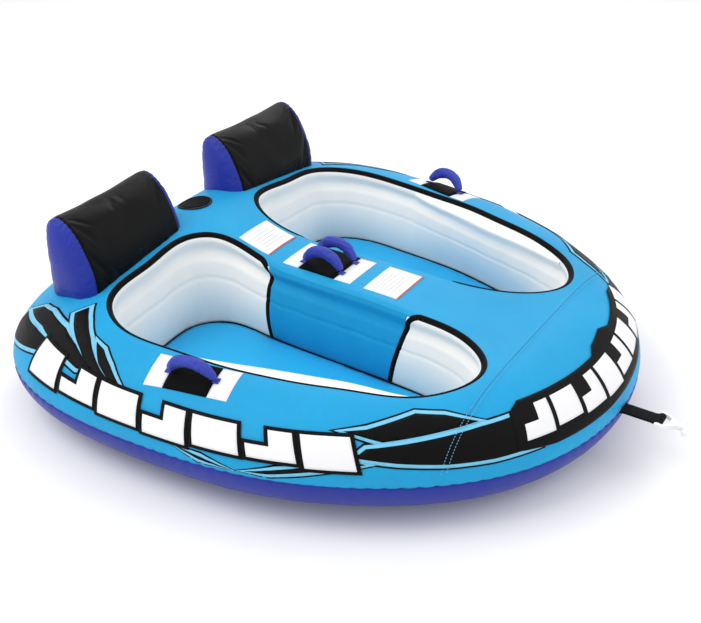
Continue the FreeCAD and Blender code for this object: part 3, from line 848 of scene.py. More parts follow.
def build_binding(mirrored, side):
    """Black binding round an opening and down both ends of the console panel."""
    path = binding_path()
    ahead = unit(np.gradient(path, axis=0))
    cross = np.column_stack([-ahead[:, 1], ahead[:, 0]]) * BINDING_WIDTH / 2
    shares = np.linspace(-1, 1, 9)
    profile = [(share, 0.0008 + BINDING_THICK * (1 - abs(share) ** 4)) for share in shares]
    profile += [(share * 0.97, 0.0003) for share in shares[::-1]]
    top = []
    for share, lift in profile:
        spot = path + cross * share
        top.append(on_cockpit(spot[:, 0], spot[:, 1], lift, mirrored))
    block = np.array(top)
    rows, columns = block.shape[:2]
    uvs = crossed(lengths(block[4]), np.arange(rows) * 0.003)
    faces = grid_faces(rows, columns)
    back = (rows - 1) * columns
    faces += [(back + j, back + j + 1, j + 1, j) for j in range(columns - 1)]
    faces.append(tuple(i * columns for i in range(rows)))
    faces.append(tuple(i * columns + columns - 1 for i in range(rows))[::-1])
    piece = make_object(f"cockpit_binding_{side}", block.reshape(-1, 3), faces, uvs)
    recalc(piece)
    finish_piece(piece, "binding_black", "hull", f"cockpit_binding_{side}", f"panel_binding_{side}")


def build_lip_shade_band(mirrored, side):
    """Grey band of painted shade under the lip, between the binding and the white wall."""
    columns = np.linspace(0, 1, 260)
    runs = PANEL_HIGH + 0.02 + (PANEL_NEXT - PANEL_HIGH - 0.04) * columns
    reach = 0.020 * np.sin(math.pi * columns) ** 0.25 * (0.75 + 0.25 * np.sin(9 * columns))
    width = 0.001 + (LIP_RUN - 0.020 + reach) * (1 - roll_window(runs))
    depth = 0.023 + width[None, :] * np.linspace(0, 1, 8)[:, None]
    rows = np.broadcast_to(runs, depth.shape)
    spots = on_cockpit(rows, depth, 0.0008, mirrored)
    piece = sheet(f"lip_shade_band_{side}", spots, np.stack([rows, depth], -1))
    if not mirrored:
        piece.data.flip_normals()
    # painted shade: this band's dark grey cloth stands for the shade under the lip
    finish_piece(piece, "lip_grey", "hull", thick=0.0006)


def build_panel_corners(mirrored, side):
    """Blue cloth of the console that fills the corners outside the binding's bends."""
    def mapping(points, extra=0.0):
        return on_cockpit(points[:, 0], points[:, 1], 0.0007 + extra, mirrored)

    for name, edge, sign in (("front", PANEL_HIGH, 1), ("rear", PANEL_LOW, -1)):
        bend = [(edge + sign * BEND * (1 - math.cos(angle)), BINDING_AT + BEND * (1 - math.sin(angle)))
                for angle in np.radians(np.arange(0, 91, 10))]
        piece = flat_shape(f"panel_corner_{name}_{side}", bend + [(edge, BINDING_AT)], mapping, 0.005)
        finish_piece(piece, "cover_blue", "hull", thick=0.001)


def build_floor(mirrored, side):
    """Inflated floor pad: its blue cloth swells in the middle and tucks in at the wall."""
    rim = (PORT.points - PORT.normals * 0.004)[::2]
    points, faces = triangulated([rim], 0.014, lambda spots: inside_polygon(spots, rim))
    gap = PORT.gap_to(points)
    height = FLOOR_Z - 0.010 + 0.022 * np.sqrt(1 - (1 - np.clip(gap / 0.07, 0, 1)) ** 2)
    height += 0.0015 * np.sin(31 * points[:, 0]) * np.sin(27 * points[:, 1]) * np.clip(gap / 0.05, 0, 1)
    plan = points * (MIRROR if mirrored else 1)
    piece = make_object(f"cockpit_floor_{side}", np.column_stack([plan, height]), faces, points)
    recalc(piece)
    if piece.data.polygons[0].normal.z < 0:
        piece.data.flip_normals()
    finish_piece(piece, "floor_blue", "hull", f"cockpit_floor_{side}", thick=CLOTH)


def build_hull():
    """Covers, lower band and all that lines the cockpits."""
    whole = build_cover()
    seam = (NOSE_SEAM_X, 0, 0)
    cover = cut_half(whole, "top_cover_cloth", seam, (-1, 0, 0), closed=False)
    nose = cut_half(whole, "nose_cover_cloth", seam, (1, 0, 0), closed=False)
    bpy.data.objects.remove(whole)
    finish_piece(cover, "cover_blue", "hull", "top_cover", "ring_bladder", "console_bladder", thick=CLOTH)
    finish_piece(nose, "cover_blue", "hull", "nose_cover", thick=CLOTH)
    angles = np.linspace(-90, 0, 30)
    runs = np.arange(HULL.count) * HULL.length / HULL.count
    band = sheet("lower_band_cloth", on_side(runs[None, :], angles[:, None]),
                 crossed(runs, np.radians(angles) * BILGE), closed=True)
    finish_piece(band, "band_blue", "hull", "lower_side_band", thick=CLOTH)
    for mirrored, side in SIDES:
        for build in (build_walls, build_binding, build_panel_corners, build_lip_shade_band, build_floor):
            build(mirrored, side)


# ---------------------------------------------------------------- sewn-on layers and stitches

def home(node):
    """Name of the body that a CAD node belongs to."""
    parent = frame["nodes"][node].parent
    return next(name for name, empty in frame["bodies"].items() if empty == parent)


def field(x, y, turn=0.0):
    """Mapping from flat coordinates round a place on the deck, turned by some degrees, to the deck."""
    cosine, sine = math.cos(math.radians(turn)), math.sin(math.radians(turn))

    def mapping(points, lift=0.0):
        points = np.asarray(points, float)
        plan = np.column_stack([x + cosine * points[:, 0] - sine * points[:, 1],
                                y + sine * points[:, 0] + cosine * points[:, 1]])
        return on_deck(plan, lift)

    return mapping


def mirror_piece(piece):
    """Turn a port piece into its starboard image."""
    for vertex in piece.data.vertices:
        vertex.co.y *= -1
    piece.data.flip_normals()
    return piece


def sewn_panel(name, mapping, low, high, lift, thick, edge, wrinkle=0.0, spacing=0.004):
    """Rectangle of cloth between two flat corners, with soft edges and a groove where it is sewn."""
    u = np.linspace(low[0], high[0], int((high[0] - low[0]) / spacing) + 2)
    v = np.linspace(low[1], high[1], int((high[1] - low[1]) / spacing) + 2)
    flat = np.stack(np.meshgrid(u, v, indexing="ij"), -1).reshape(-1, 2)
    gap = np.minimum(flat - low, np.array(high) - flat).min(1)
    rise = thick * np.sqrt(1 - (1 - np.clip(gap / edge, 0, 1)) ** 2)
    rise -= 0.25 * thick * np.exp(-((gap - 0.004) / 0.0015) ** 2)
    rise += wrinkle * np.sin(flat[:, 0] * 93 + 2 * np.sin(flat[:, 1] * 41)) * np.clip(gap / 0.01, 0, 1)
    piece = make_object(name, mapping(flat, lift + rise), grid_faces(len(u), len(v)), flat)
    return face_outwards(piece, mapping, flat)


def stitches(name, spots, normals, material, body="hull", pitch=0.007, radius=0.0006):
    """Row of separate stitches along a line of points."""
    run = lengths(spots)
    stops = np.arange(pitch / 2, run[-1], pitch)
    at = picked(stops, run, spots)
    out = picked(stops, run, normals)
    along = unit(picked(stops + 0.001, run, spots) - at)
    side = unit(np.cross(along, out))
    half = pitch * 0.36
    vertices, faces = [], []
    for point, forward, across, up in zip(at, along, side, out):
        start = len(vertices)
        vertices.append(point - forward * half)
        for place in (-0.6, 0.6):
            for angle in np.arange(6) * math.pi / 3:
                round_it = across * math.cos(angle) + up * math.sin(angle)
                vertices.append(point + forward * half * place + round_it * radius)
        vertices.append(point + forward * half)
        for k in range(6):
            near, far = start + 1 + k, start + 1 + (k + 1) % 6
            faces += [(start, far, near), (near, far, far + 6, near + 6), (start + 13, near + 6, far + 6)]
    piece = make_object(name, vertices, faces)
    recalc(piece)
    return finish_piece(piece, material, body)


def mapped_line(mapping, flat, lift):
    """Points of a flat line on a mapped surface, with the surface's normals."""
    flat = np.asarray(flat, float)
    low = mapping(flat, lift)
    return low, unit(mapping(flat, lift + 0.002) - low)


def outline_stitches(name, mapping, low, high, inset, lift):
    """Grey stitches all round inside the edge of a rectangle."""
    corners = [(low[0] + inset, low[1] + inset), (high[0] - inset, low[1] + inset),
               (high[0] - inset, high[1] - inset), (low[0] + inset, high[1] - inset)]
    path = resampled(corners + corners[:1], 0.004, closed=False)
    return stitches(name, *mapped_line(mapping, path, lift), "thread_grey", pitch=0.005, radius=0.0004)


def build_handle_fields():
    """Knuckle pads, white patches and the tabs that hold the grips, sewn onto the deck."""
    outer_side = field(*SIDE_HANDLE, SIDE_HANDLE_TURN)
    middle = field(CONSOLE_HANDLE_X, 0.0)
    half = PAD_LENGTH / 2
    fields = [("side", f"_{side}", outer_side, SIDE_FIELD, (0.0,), mirrored) for mirrored, side in SIDES]
    fields.append(("console", "", middle, CONSOLE_FIELD, (-CONSOLE_ROW, CONSOLE_ROW), False))
    for kind, side, mapping, width, rows, mirrored in fields:
        pad = sewn_panel(f"{kind}_pad_cloth{side}", mapping, (-half, -width / 2), (half, width / 2),
                         lift=0.001, thick=0.0042, edge=0.009, wrinkle=0.0003)
        pieces = [(pad, "pad_black", f"{kind}_knuckle_pad{side}")]
        for place, name in ((-1, "aft"), (1, "fore")):
            low = min(place * half, place * (half + PATCH_LENGTH))
            corner, far = (low, -width / 2), (low + PATCH_LENGTH, width / 2)
            patch = sewn_panel(f"{kind}_patch_{name}{side}", mapping, corner, far,
                               lift=PATCH_LIFT, thick=PATCH_THICK, edge=0.002)
            pieces.append((patch, "patch_white", f"{kind}_handle_patches{side}"))
            sewn = outline_stitches(f"{kind}_patch_thread_{name}{side}", mapping, corner, far,
                                    inset=0.004, lift=PATCH_LIFT + PATCH_THICK)
            for row in rows:
                start = np.array((place * (half + TAB_OUT), row)) - TAB / 2
                label = f"{row:+.2f}".replace("+", "p").replace("-", "m")
                tab = sewn_panel(f"{kind}_tab_{name}_{label}{side}", mapping, start, start + TAB,
                                 lift=0.003, thick=0.0022, edge=0.003, spacing=0.002)
                pieces.append((tab, "grip_blue", f"{kind}_handle_webbing{side}"))
            if mirrored:
                mirror_piece(sewn)
        for piece, material, node in pieces:
            if mirrored:
                mirror_piece(piece)
            finish_piece(piece, material, "hull", node, thick=0.0008)


LABELS = [("label_rear", -0.318, 0.113, 0.138), ("label_front", 0.127, 0.115, 0.150)]   # X, length, width
HEM = 0.005
RULES = 7
RULE_PITCH = 0.0125
RULE_WIDTH = 0.0028


def build_labels():
    """Two plain white labels with a coloured hem; thin ruled lines stand where print would be."""
    for name, x, length, width in LABELS:
        mapping = field(x, 0.0)
        low, high = (-length / 2, -width / 2), (length / 2, width / 2)
        panel = sewn_panel(f"{name}_cloth", mapping, low, high, lift=PATCH_LIFT, thick=0.0011, edge=0.002)
        finish_piece(panel, "patch_white", "hull", name, thick=0.0008)
        hem = sewn_panel(f"{name}_hem", mapping, (length / 2 - HEM, -width / 2), high,
                         lift=0.0016, thick=0.0011, edge=0.001, spacing=0.002)
        finish_piece(hem, "hem_red", "hull", thick=0.0006)
        outline_stitches(f"{name}_thread", mapping, low, high, inset=0.0035, lift=0.0019)
        for row in range(RULES):
            start = -length / 2 + 0.018 + row * RULE_PITCH
            end = width * (0.20 + 0.08 * (row % 3))
            line = sewn_panel(f"{name}_rule_{row}", mapping, (start, -width * 0.36),
                              (start + RULE_WIDTH, end), lift=0.0019, thick=0.0002, edge=0.001,
                              spacing=RULE_WIDTH)
            finish_piece(line, "rule_grey", "hull", thick=0.0003)


# ---------------------------------------------------------------- printed graphics on the cover

def printed(name, corners, lift, material, mirrored):
    """Print on the hull's side. Corners are a run from the nose in metres and an angle over the seam."""
    flat = np.array([(run, math.radians(angle) * CROWN) for run, angle in corners])

    def mapping(points, extra=0.0):
        return on_side(points[:, 0], np.degrees(points[:, 1] / CROWN), lift + extra)

    piece = flat_shape(name, flat, mapping, 0.010)
    if mirrored:
        mirror_piece(piece)
    return finish_piece(piece, material, "hull", thick=0.0003)


def grown(corners, distance):
    """Outline moved outwards by a distance, in run and angle; its corners stay sharp."""
    scale = math.degrees(1 / CROWN)
    flat = np.array(corners, float) / (1, scale)
    area = sum(a[0] * b[1] - b[0] * a[1] for a, b in zip(flat, np.roll(flat, -1, 0)))
    turn = 1.0 if area > 0 else -1.0
    before, after = unit(flat - np.roll(flat, 1, 0)), unit(np.roll(flat, -1, 0) - flat)
    first = np.column_stack([before[:, 1], -before[:, 0]]) * turn
    second = np.column_stack([after[:, 1], -after[:, 0]]) * turn
    middle = first + second
    middle /= np.maximum(np.linalg.norm(middle, axis=1), 0.3)[:, None]
    reach = distance / np.maximum((middle * first).sum(1), 0.45)
    return [tuple(spot) for spot in (flat + middle * reach[:, None]) * (1, scale)]


FEATHERS = [
    [(2.11, 9), (2.10, 31), (1.95, 39), (1.80, 43), (1.74, 41), (1.84, 33)],
    [(2.085, 36), (2.05, 46), (1.98, 51), (1.82, 54), (1.72, 52), (1.60, 45), (1.66, 40), (1.79, 43),
     (1.93, 43)],
    [(1.80, 58), (1.865, 62), (1.84, 70), (1.76, 66), (1.69, 61), (1.58, 48), (1.53, 43), (1.60, 43),
     (1.70, 52)],
    [(1.66, 62), (1.615, 61), (1.56, 54), (1.50, 44), (1.54, 44), (1.60, 51)]]
SIDE_SHAPES = {
    "tail": [(1.30, 14), (1.22, 10), (1.13, 4.5), (1.22, 7)],
    "blade": [(1.10, 6), (1.02, 12), (0.84, 25), (0.80, 22), (0.96, 12), (1.04, 7)],
    "wing": [(0.86, 46), (0.80, 48), (0.67, 60), (0.59, 57), (0.50, 49), (0.76, 39)],
    "sweep": [(0.83, 27), (0.80, 34), (0.77, 35), (0.50, 45), (0.40, 47), (0.36, 20), (0.48, 19),
              (0.60, 20), (0.72, 23)]}
BLOCK_ROW = (1.83, 0.80)      # runs of the first and last block of the side graphic
BLOCK_LOW, BLOCK_HIGH = 18.0, 42.0
NOSE_ROW = (0.385, -0.46)
NOSE_BAND = [(0.42, 20), (0.41, 50), (0.37, 57), (0.02, 57), (-0.02, 62), (-0.12, 64), (-0.17, 58),
             (-0.40, 57), (-0.50, 46), (-0.46, 24), (-0.12, 18), (0.10, 16), (0.30, 16)]
PALE_EDGE = 0.011             # a pale shape is this much wider than the black one on it, in metres
FIRST_PRINT = 0.0006          # lift of the lowest print over the cover
PRINT_STEP = 0.0002           # each next shape lies this much higher, so that none share a surface
PALE_LIFT = 0.0009            # lift of the pale and the top layer over a shape's lowest one
TOP_LIFT = 0.0018


def block_shapes(start, end, low, high, count, lean, notch):
    """Row of slanted blocks, every second one with a step cut into it."""
    shapes = []
    pitch = (end - start) / count
    for place in range(count):
        near = start + pitch * place
        far = near + pitch * 0.86
        bottom = low + 2.0 * math.sin(1.7 * place)
        tilt = lean * pitch
        middle = (near + far) / 2
        if place % 2 == notch:
            step = (low + high) / 2
            shapes.append([(near, bottom), (far, bottom), (far + tilt, high), (middle + tilt, high),
                           (middle + tilt / 2, step), (near + tilt / 2, step)])
        else:
            shapes.append([(near, bottom), (far, bottom), (far + tilt, high), (near + tilt, high)])
    return shapes


def outlined(names, shape, base, edge, mirrored):
    """Black shape over a wider pale one, over a still wider black one."""
    layers = ((edge, 0.0, "print_black"), (PALE_EDGE, PALE_LIFT, "print_pale"),
              (0.0, TOP_LIFT, "print_black"))
    for name, (wider, lift, material) in zip(names, layers):
        corners = grown(shape, wider) if wider else shape
        printed(name, corners, base + lift, material, mirrored)


def build_graphics():
    """Plain geometric stand-ins for the printed graphics: feathers, blocks, a sweep and a nose band."""
    for mirrored, side in SIDES:
        for place, shape in enumerate(FEATHERS):
            names = [f"feather_{layer}{place}_{side}" for layer in ("line_", "pale_", "")]
            outlined(names, shape, FIRST_PRINT + PRINT_STEP * place, 0.016, mirrored)
        for place, (name, shape) in enumerate(SIDE_SHAPES.items()):
            names = [f"{name}{layer}_{side}" for layer in ("_line", "_pale", "")]
            outlined(names, shape, FIRST_PRINT + PRINT_STEP * place, 0.017, mirrored)
        blocks = block_shapes(*BLOCK_ROW, BLOCK_LOW, BLOCK_HIGH, count=7, lean=-0.14, notch=1)
        for place, shape in enumerate(blocks):
            base = 0.0036 + 0.00008 * place
            edge = grown(shape, PALE_EDGE)
            printed(f"side_block_edge_{place}_{side}", edge, base, "print_black", mirrored)
            printed(f"side_block_{place}_{side}", shape, base + 0.0008, "print_white", mirrored)
    printed("nose_band", NOSE_BAND, 0.0034, "print_black", True)
    blocks = block_shapes(*NOSE_ROW, 26, 51, count=8, lean=0.12, notch=0)
    for place, shape in enumerate(blocks):
        printed(f"nose_block_{place}", shape, 0.0042, "print_white", True)


# ---------------------------------------------------------------- cloth blown up by simulation

def inflate(piece, held, cap, voxel, pressure, slack, frames=20):
    """Fill a closed cloth form with air by a cloth simulation that holds its seams.

    No point moves further than the cap.
    """
    net = piece.modifiers.new("net", "REMESH")
    net.mode = "VOXEL"
    net.voxel_size = voxel
    apply_modifiers(piece)
    start = np.array([vertex.co for vertex in piece.data.vertices])
    group = piece.vertex_groups.new(name="held")
    group.add([int(k) for k in np.nonzero(held(start))[0]], 1.0, "REPLACE")
    cloth = piece.modifiers.new("air", "CLOTH")
    cloth.settings.use_pressure = True
    cloth.settings.uniform_pressure_force = pressure
    cloth.settings.vertex_group_mass = "held"
    cloth.settings.shrink_min = -slack
    cloth.settings.effector_weights.gravity = 0.0
    cloth.settings.bending_stiffness = 0.05
    cloth.collision_settings.use_collision = False
    cloth.point_cache.frame_start = 1
    cloth.point_cache.frame_end = frames
    for number in range(1, frames + 1):
        SCENE.frame_set(number)
    apply_modifiers(piece)
    SCENE.frame_set(1)
    piece.vertex_groups.clear()
    moved = np.array([vertex.co for vertex in piece.data.vertices]) - start
    moved = unit(moved) * np.minimum(cap, np.linalg.norm(moved, axis=1))[:, None]
    piece.data.vertices.foreach_set("co", (start + moved).astype(np.float32).ravel())
    smooth = piece.modifiers.new("smooth", "SUBSURF")
    smooth.levels = smooth.render_levels = 1
    apply_modifiers(piece)
    piece.data.shade_smooth()


def smooth_line(knots, count):
    """Evenly spaced points on a smooth line through the knots."""
    knots = np.array(knots, float)
    ends = np.vstack([2 * knots[0] - knots[1], knots, 2 * knots[-1] - knots[-2]])
    dense = []
    for a, b, c, d in zip(ends, ends[1:], ends[2:], ends[3:]):
        t = np.linspace(0, 1, 40, endpoint=False)[:, None]
        dense.append(0.5 * (2 * b + (c - a) * t + (2 * a - 5 * b + 4 * c - d) * t ** 2
                            + (3 * b - a - 3 * c + d) * t ** 3))
    dense = np.vstack(dense + [knots[-1:]])
    run = lengths(dense)
    return picked(np.linspace(0, run[-1], count), run, dense)


def tube(name, rings):
    """Closed form through rings of equally many points."""
    rings = np.array(rings)
    rows, columns = rings.shape[:2]
    vertices = [*rings.reshape(-1, 3), rings[0].mean(0), rings[-1].mean(0)]
    faces = grid_faces(rows, columns, True)
    top = rows * columns
    for j in range(columns):
        k = (j + 1) % columns
        faces.append((top, k, j))
        faces.append((top + 1, (rows - 1) * columns + j, (rows - 1) * columns + k))
    piece = make_object(name, vertices, faces)
    recalc(piece)
    return piece


HEART = np.array([0.085, 0.020])   # depth and height that a backrest's end panels close in on
BACKREST_PLACE = Matrix.Translation(BACKREST_AT) @ Matrix.Rotation(math.radians(BACKREST_TURN), 4, "Z")


def backrest_body(name):
    """Backrest in its own frame: the side outline run across, with two puffed ends."""
    side = smooth_line(np.array(BACKREST_SIDE) * MM, 84)
    base = np.linspace(side[-1], side[0], 18)[1:-1]
    outline = np.vstack([side, base])
    drawn = HEART + (outline - HEART) * 0.992
    puff = BACKREST_BULGE - 0.003
    stations = [(BACKREST_HALF + puff * math.sin(angle), math.cos(angle))
                for angle in np.radians((84, 74, 64, 54, 44, 34, 24, 16, 8, 0))]
    straight = [(y, 1.0) for y in np.linspace(-BACKREST_HALF, BACKREST_HALF, 48)[1:-1]]
    rings = []
    for reach, scale in [(-y, s) for y, s in stations] + straight + stations[::-1]:
        spots = HEART + (drawn - HEART) * scale
        rings.append(np.column_stack([-spots[:, 0], np.full(len(spots), reach), spots[:, 1]]))
    return tube(name, rings)


def seam_gathers(piece):
    """Draw the end panels in along their seam, in many small puckers, and crease the wrap faintly."""
    spots = np.array([vertex.co for vertex in piece.data.vertices])
    normals = np.array([vertex.normal for vertex in piece.data.vertices])
    beyond = np.abs(spots[:, 1]) - BACKREST_HALF
    around = np.arctan2(spots[:, 2] - HEART[1], -spots[:, 0] - HEART[0])
    gather = np.abs(np.sin(around * 34 + 1.3 * np.sin(around * 5)))
    ends = np.clip(beyond / 0.004 + 1, 0, 1) * np.exp(-np.abs(beyond) / 0.020)
    wrap = np.exp(-np.abs(beyond) / 0.012) * (beyond < 0)
    shift = -0.0026 * ends * (1 - gather ** 0.6) - 0.0018 * wrap * (1 - gather) - 0.0022 * np.exp(
        -np.abs(beyond) / 0.003)
    crease = np.sin(38 * spots[:, 2] + 21 * spots[:, 1] + 2 * np.sin(17 * spots[:, 1]))
    shift += 0.0006 * crease * (beyond < 0) * np.clip(-beyond / 0.03, 0, 1)
    moved = spots + normals * shift[:, None]
    piece.data.vertices.foreach_set("co", moved.astype(np.float32).ravel())
    piece.data.update()


def build_backrests():
    """Both backrests: one simulated form, cut at its seams into a wrap and two end panels."""
    body = backrest_body("backrest_body")

    def held(spots):
        return (np.abs(np.abs(spots[:, 1]) - BACKREST_HALF) < 0.004) | (spots[:, 2] < -0.04)

    inflate(body, held, cap=0.006, voxel=0.006, pressure=9.0, slack=0.012)
    seam_gathers(body)
    left_seam, right_seam = (0, BACKREST_HALF, 0), (0, -BACKREST_HALF, 0)
    sunk = cut_half(body, "backrest_sunk", (0, 0, -0.055), (0, 0, 1))
    trimmed = cut_half(sunk, "trimmed", left_seam, (0, -1, 0))
    parts = {"end_outer": cut_half(sunk, "outer", left_seam, (0, 1, 0)),
             "end_inner": cut_half(sunk, "inner", right_seam, (0, -1, 0)),
             "wrap": cut_half(trimmed, "wrap", right_seam, (0, 1, 0))}
    for mirrored, side in SIDES:
        for name, part in parts.items():
            piece = copied(part, f"backrest_{name}_cloth_{side}")
            piece.data.transform(BACKREST_PLACE)
            if mirrored:
                mirror_piece(piece)
            nodes = [f"backrest_{name}_{side}"]
            if name == "wrap":
                nodes.append(f"backrest_bladder_{side}")
            finish_piece(piece, "wrap_black" if name == "wrap" else "end_blue", home(nodes[0]), *nodes)
    for spare in (body, sunk, trimmed, *parts.values()):
        bpy.data.objects.remove(spare)


def deck_frame(x, y, turn=0.0):
    """Placement on the deck: local X along the turn, local Z along the deck's normal."""
    reach = 0.015
    around = deck_height(np.array([(x + reach, y), (x - reach, y), (x, y + reach), (x, y - reach), (x, y)]))
    normal = Vector(((around[1] - around[0]) / (2 * reach), (around[3] - around[2]) / (2 * reach), 1))
    normal.normalize()
    heading = Vector((math.cos(math.radians(turn)), math.sin(math.radians(turn)), 0))
    along = (heading - normal * heading.dot(normal)).normalized()
    turned = Matrix((along, normal.cross(along), normal)).transposed().to_4x4()
    return Matrix.Translation((x, y, around[4])) @ turned


GRIP_REACH = 0.062
GRIP_END = (0.013, 0.0085)    # height and radius at the two ends
GRIP_TOP = (0.0515, 0.0165)   # the same at the middle


def grip_body():
    """Padded arch in its own frame, creased across where the cloth is bent."""
    rise = GRIP_TOP[0] - GRIP_END[0]
    radius = (GRIP_REACH ** 2 + rise ** 2) / (2 * rise)
    half_angle = math.asin(GRIP_REACH / radius)
    rings = []
    for share in np.linspace(0, 1, 64):
        angle = half_angle * (2 * share - 1)
        spot = np.array([radius * math.sin(angle), 0, GRIP_TOP[0] - radius + radius * math.cos(angle)])
        outward = np.array([math.sin(angle), 0, math.cos(angle)])
        fullness = math.sin(math.pi * share) ** 0.5 if 0 < share < 1 else 0.0
        size = GRIP_END[1] + (GRIP_TOP[1] - GRIP_END[1]) * fullness
        ring = []
        for turn in np.linspace(0, 2 * math.pi, 28, endpoint=False):
            under = 0.5 - 0.5 * math.cos(turn)
            crease = abs(math.sin(share * 37 + 1.4 * math.sin(turn) + 0.8 * math.sin(5 * share)))
            drawn = size * (1 - 0.09 * under * (1 - crease ** 0.5) - 0.02 * (1 - crease))
            ring.append(spot + (outward * math.cos(turn) + np.array([0, 1, 0]) * math.sin(turn)) * drawn)
        rings.append(ring)
    return tube("grip_body", rings)


def build_grips():
    """Four grips from one simulated arch, each with a row of stitches along its underside."""
    shape = grip_body()
    inflate(shape, lambda spots: np.abs(spots[:, 0]) > GRIP_REACH - 0.006, cap=0.0025, voxel=0.0022,
            pressure=3.0, slack=0.09, frames=12)
    seam = smooth_line([(-GRIP_REACH, 0.0, 0.006), (-0.035, 0, 0.026), (0, 0, 0.0345), (0.035, 0, 0.026),
                        (GRIP_REACH, 0.0, 0.006)], 40)
    places = {"side": deck_frame(*SIDE_HANDLE, SIDE_HANDLE_TURN),
              "console": deck_frame(CONSOLE_HANDLE_X, CONSOLE_ROW)}
    grips = [(f"{kind}_grip_{side}", place, mirrored)
             for kind, place in places.items() for mirrored, side in SIDES]
    for node, place, mirrored in grips:
        piece = copied(shape, f"{node}_cloth")
        piece.data.transform(place)
        if mirrored:
            mirror_piece(piece)
        finish_piece(piece, "grip_blue", home(node), node)
        at = np.array([place @ Vector(spot) for spot in seam])
        out = np.tile(np.array(place.to_3x3() @ Vector((0, 0, -1))), (len(at), 1))
        if mirrored:
            at[:, 1] *= -1
            out[:, 1] *= -1
        stitches(f"{node}_thread", at, out, "thread_blue", home(node), pitch=0.004, radius=0.0004)
    bpy.data.objects.remove(shape)


# ---------------------------------------------------------------- valve flap, strap, bottom, zips

def build_valve_flap():
    """Round black flap over the main valve, stitched round its edge and slightly dished."""
    rings, around = 26, 72
    radius = np.linspace(0.0, VALVE_FLAP_R - 0.001, rings)[1:]
    turn = np.linspace(0, 2 * math.pi, around, endpoint=False)
    flat = np.array([(r * math.cos(t), r * math.sin(t)) for r in radius for t in turn] + [(0, 0)])
    reach = np.linalg.norm(flat, axis=1)
    rise = 0.003 * np.sqrt(np.clip(1 - (reach / VALVE_FLAP_R) ** 10, 0, 1))
    rise += 0.0022 * np.exp(-((reach - 0.046) / 0.003) ** 2) - 0.0028 * np.exp(-(reach / 0.03) ** 4)
    mapping = field(*VALVE_AT)
    faces = grid_faces(len(radius), around, True)
    faces += [(len(flat) - 1, j, (j + 1) % around) for j in range(around)]
    piece = make_object("valve_flap_cloth", mapping(flat, 0.0008 + rise), faces, flat)
    recalc(piece)
    face_outwards(piece, mapping, flat)
    finish_piece(piece, "pad_black", home("valve_flap"), "valve_flap", thick=0.0012)
    ring = np.array([(0.051 * math.cos(t), 0.051 * math.sin(t)) for t in np.linspace(0, 2 * math.pi, 90)])
    stitches("valve_flap_thread", *mapped_line(mapping, ring, 0.0040), "thread_grey", home("valve_flap"),
             pitch=0.006)


def closed_tape(name, path, width, thick):
    """Webbing along a line in the XZ plane, with rounded edges."""
    tangent = unit(np.gradient(np.array(path), axis=0))
    out = np.column_stack([-tangent[:, 1], tangent[:, 0]])
    rings = []
    for (x, z), (out_x, out_z) in zip(path, out):
        ring = []
        for turn in np.linspace(0, 2 * math.pi, 28, endpoint=False):
            across = width / 2 * np.sign(math.cos(turn)) * abs(math.cos(turn)) ** 0.35
            lift = thick / 2 * np.sign(math.sin(turn)) * abs(math.sin(turn)) ** 0.5
            ring.append((x + out_x * lift, across, z + out_z * lift))
        rings.append(ring)
    return tube(name, rings)


def build_tow_strap():
    """Doubled webbing from the seam to the hook's cross bar, sewn together near its ends."""
    straight = np.linspace(STRAP_START, HOOK_BAR_X - 0.016, 22)
    loop = [(x, SEAM_Z + STRAP_LAYER) for x in straight]
    loop += [(HOOK_BAR_X + BAR_TURN_R * math.cos(angle), SEAM_Z + BAR_TURN_R * math.sin(angle))
             for angle in np.radians(np.arange(150, -151, -12))]
    loop += [(x, SEAM_Z - STRAP_LAYER) for x in straight[::-1]]
    piece = closed_tape("tow_strap_webbing", loop, STRAP_WIDTH, STRAP_THICK)
    finish_piece(piece, "webbing_black", home("tow_strap"), "tow_strap")
    top = SEAM_Z + STRAP_LAYER + STRAP_THICK / 2 + 0.0001
    for place, x in enumerate(STRAP_SEAMS):
        row = np.array([(x, y, top) for y in np.linspace(-0.018, 0.018, 10)])
        stitches(f"tow_strap_thread_{place}", row, np.tile((0, 0, 1.0), (10, 1)), "thread_dark",
                 home("tow_strap"), pitch=0.004)


def build_bottom():
    """Bottom panel, slightly quilted by its seams."""
    rim = HULL.points[::3] - HULL.normals[::3] * BILGE * 0.97

    def mapping(points, lift=0.0):
        gap = HULL.gap_to(points) - BILGE
        swell_down = 0.0006 * np.sin(24 * points[:, 0]) * np.sin(21 * points[:, 1])
        height = 0.0042 + swell_down - 0.0012 * np.clip(gap / 0.05, 0, 1)
        return np.column_stack([points, height - lift])

    piece = flat_shape("bottom_cloth", rim, mapping, 0.022)
    finish_piece(piece, "band_blue", home("bottom_panel"), "bottom_panel", thick=0.0015)


def zip_teeth(name, start, end, out, node):
    """Row of moulded teeth, set turn by turn on either side of a line."""
    start, end, out = Vector(start), Vector(end), Vector(out)
    along = (end - start).normalized()
    side = along.cross(out)
    pitch = 0.004
    count = int((end - start).length / pitch)
    net = bmesh.new()
    for place in range(count):
        centre = start + along * pitch * (place + 0.5) + side * (0.0011 if place % 2 else -0.0011)
        size = Matrix.Diagonal((pitch * 0.42, 0.0034, 0.0014, 1))
        turned = Matrix((along, side, out)).transposed().to_4x4()
        bmesh.ops.create_cube(net, size=1.0, matrix=Matrix.Translation(centre) @ turned @ size)
    bmesh.ops.bevel(net, geom=net.edges[:], offset=0.0003, segments=1, affect="EDGES")
    mesh = bpy.data.meshes.new(name)
    net.to_mesh(mesh)
    net.free()
    piece = bpy.data.objects.new(name, mesh)
    SCENE.collection.objects.link(piece)
    return finish_piece(piece, "zip_black", home(node))


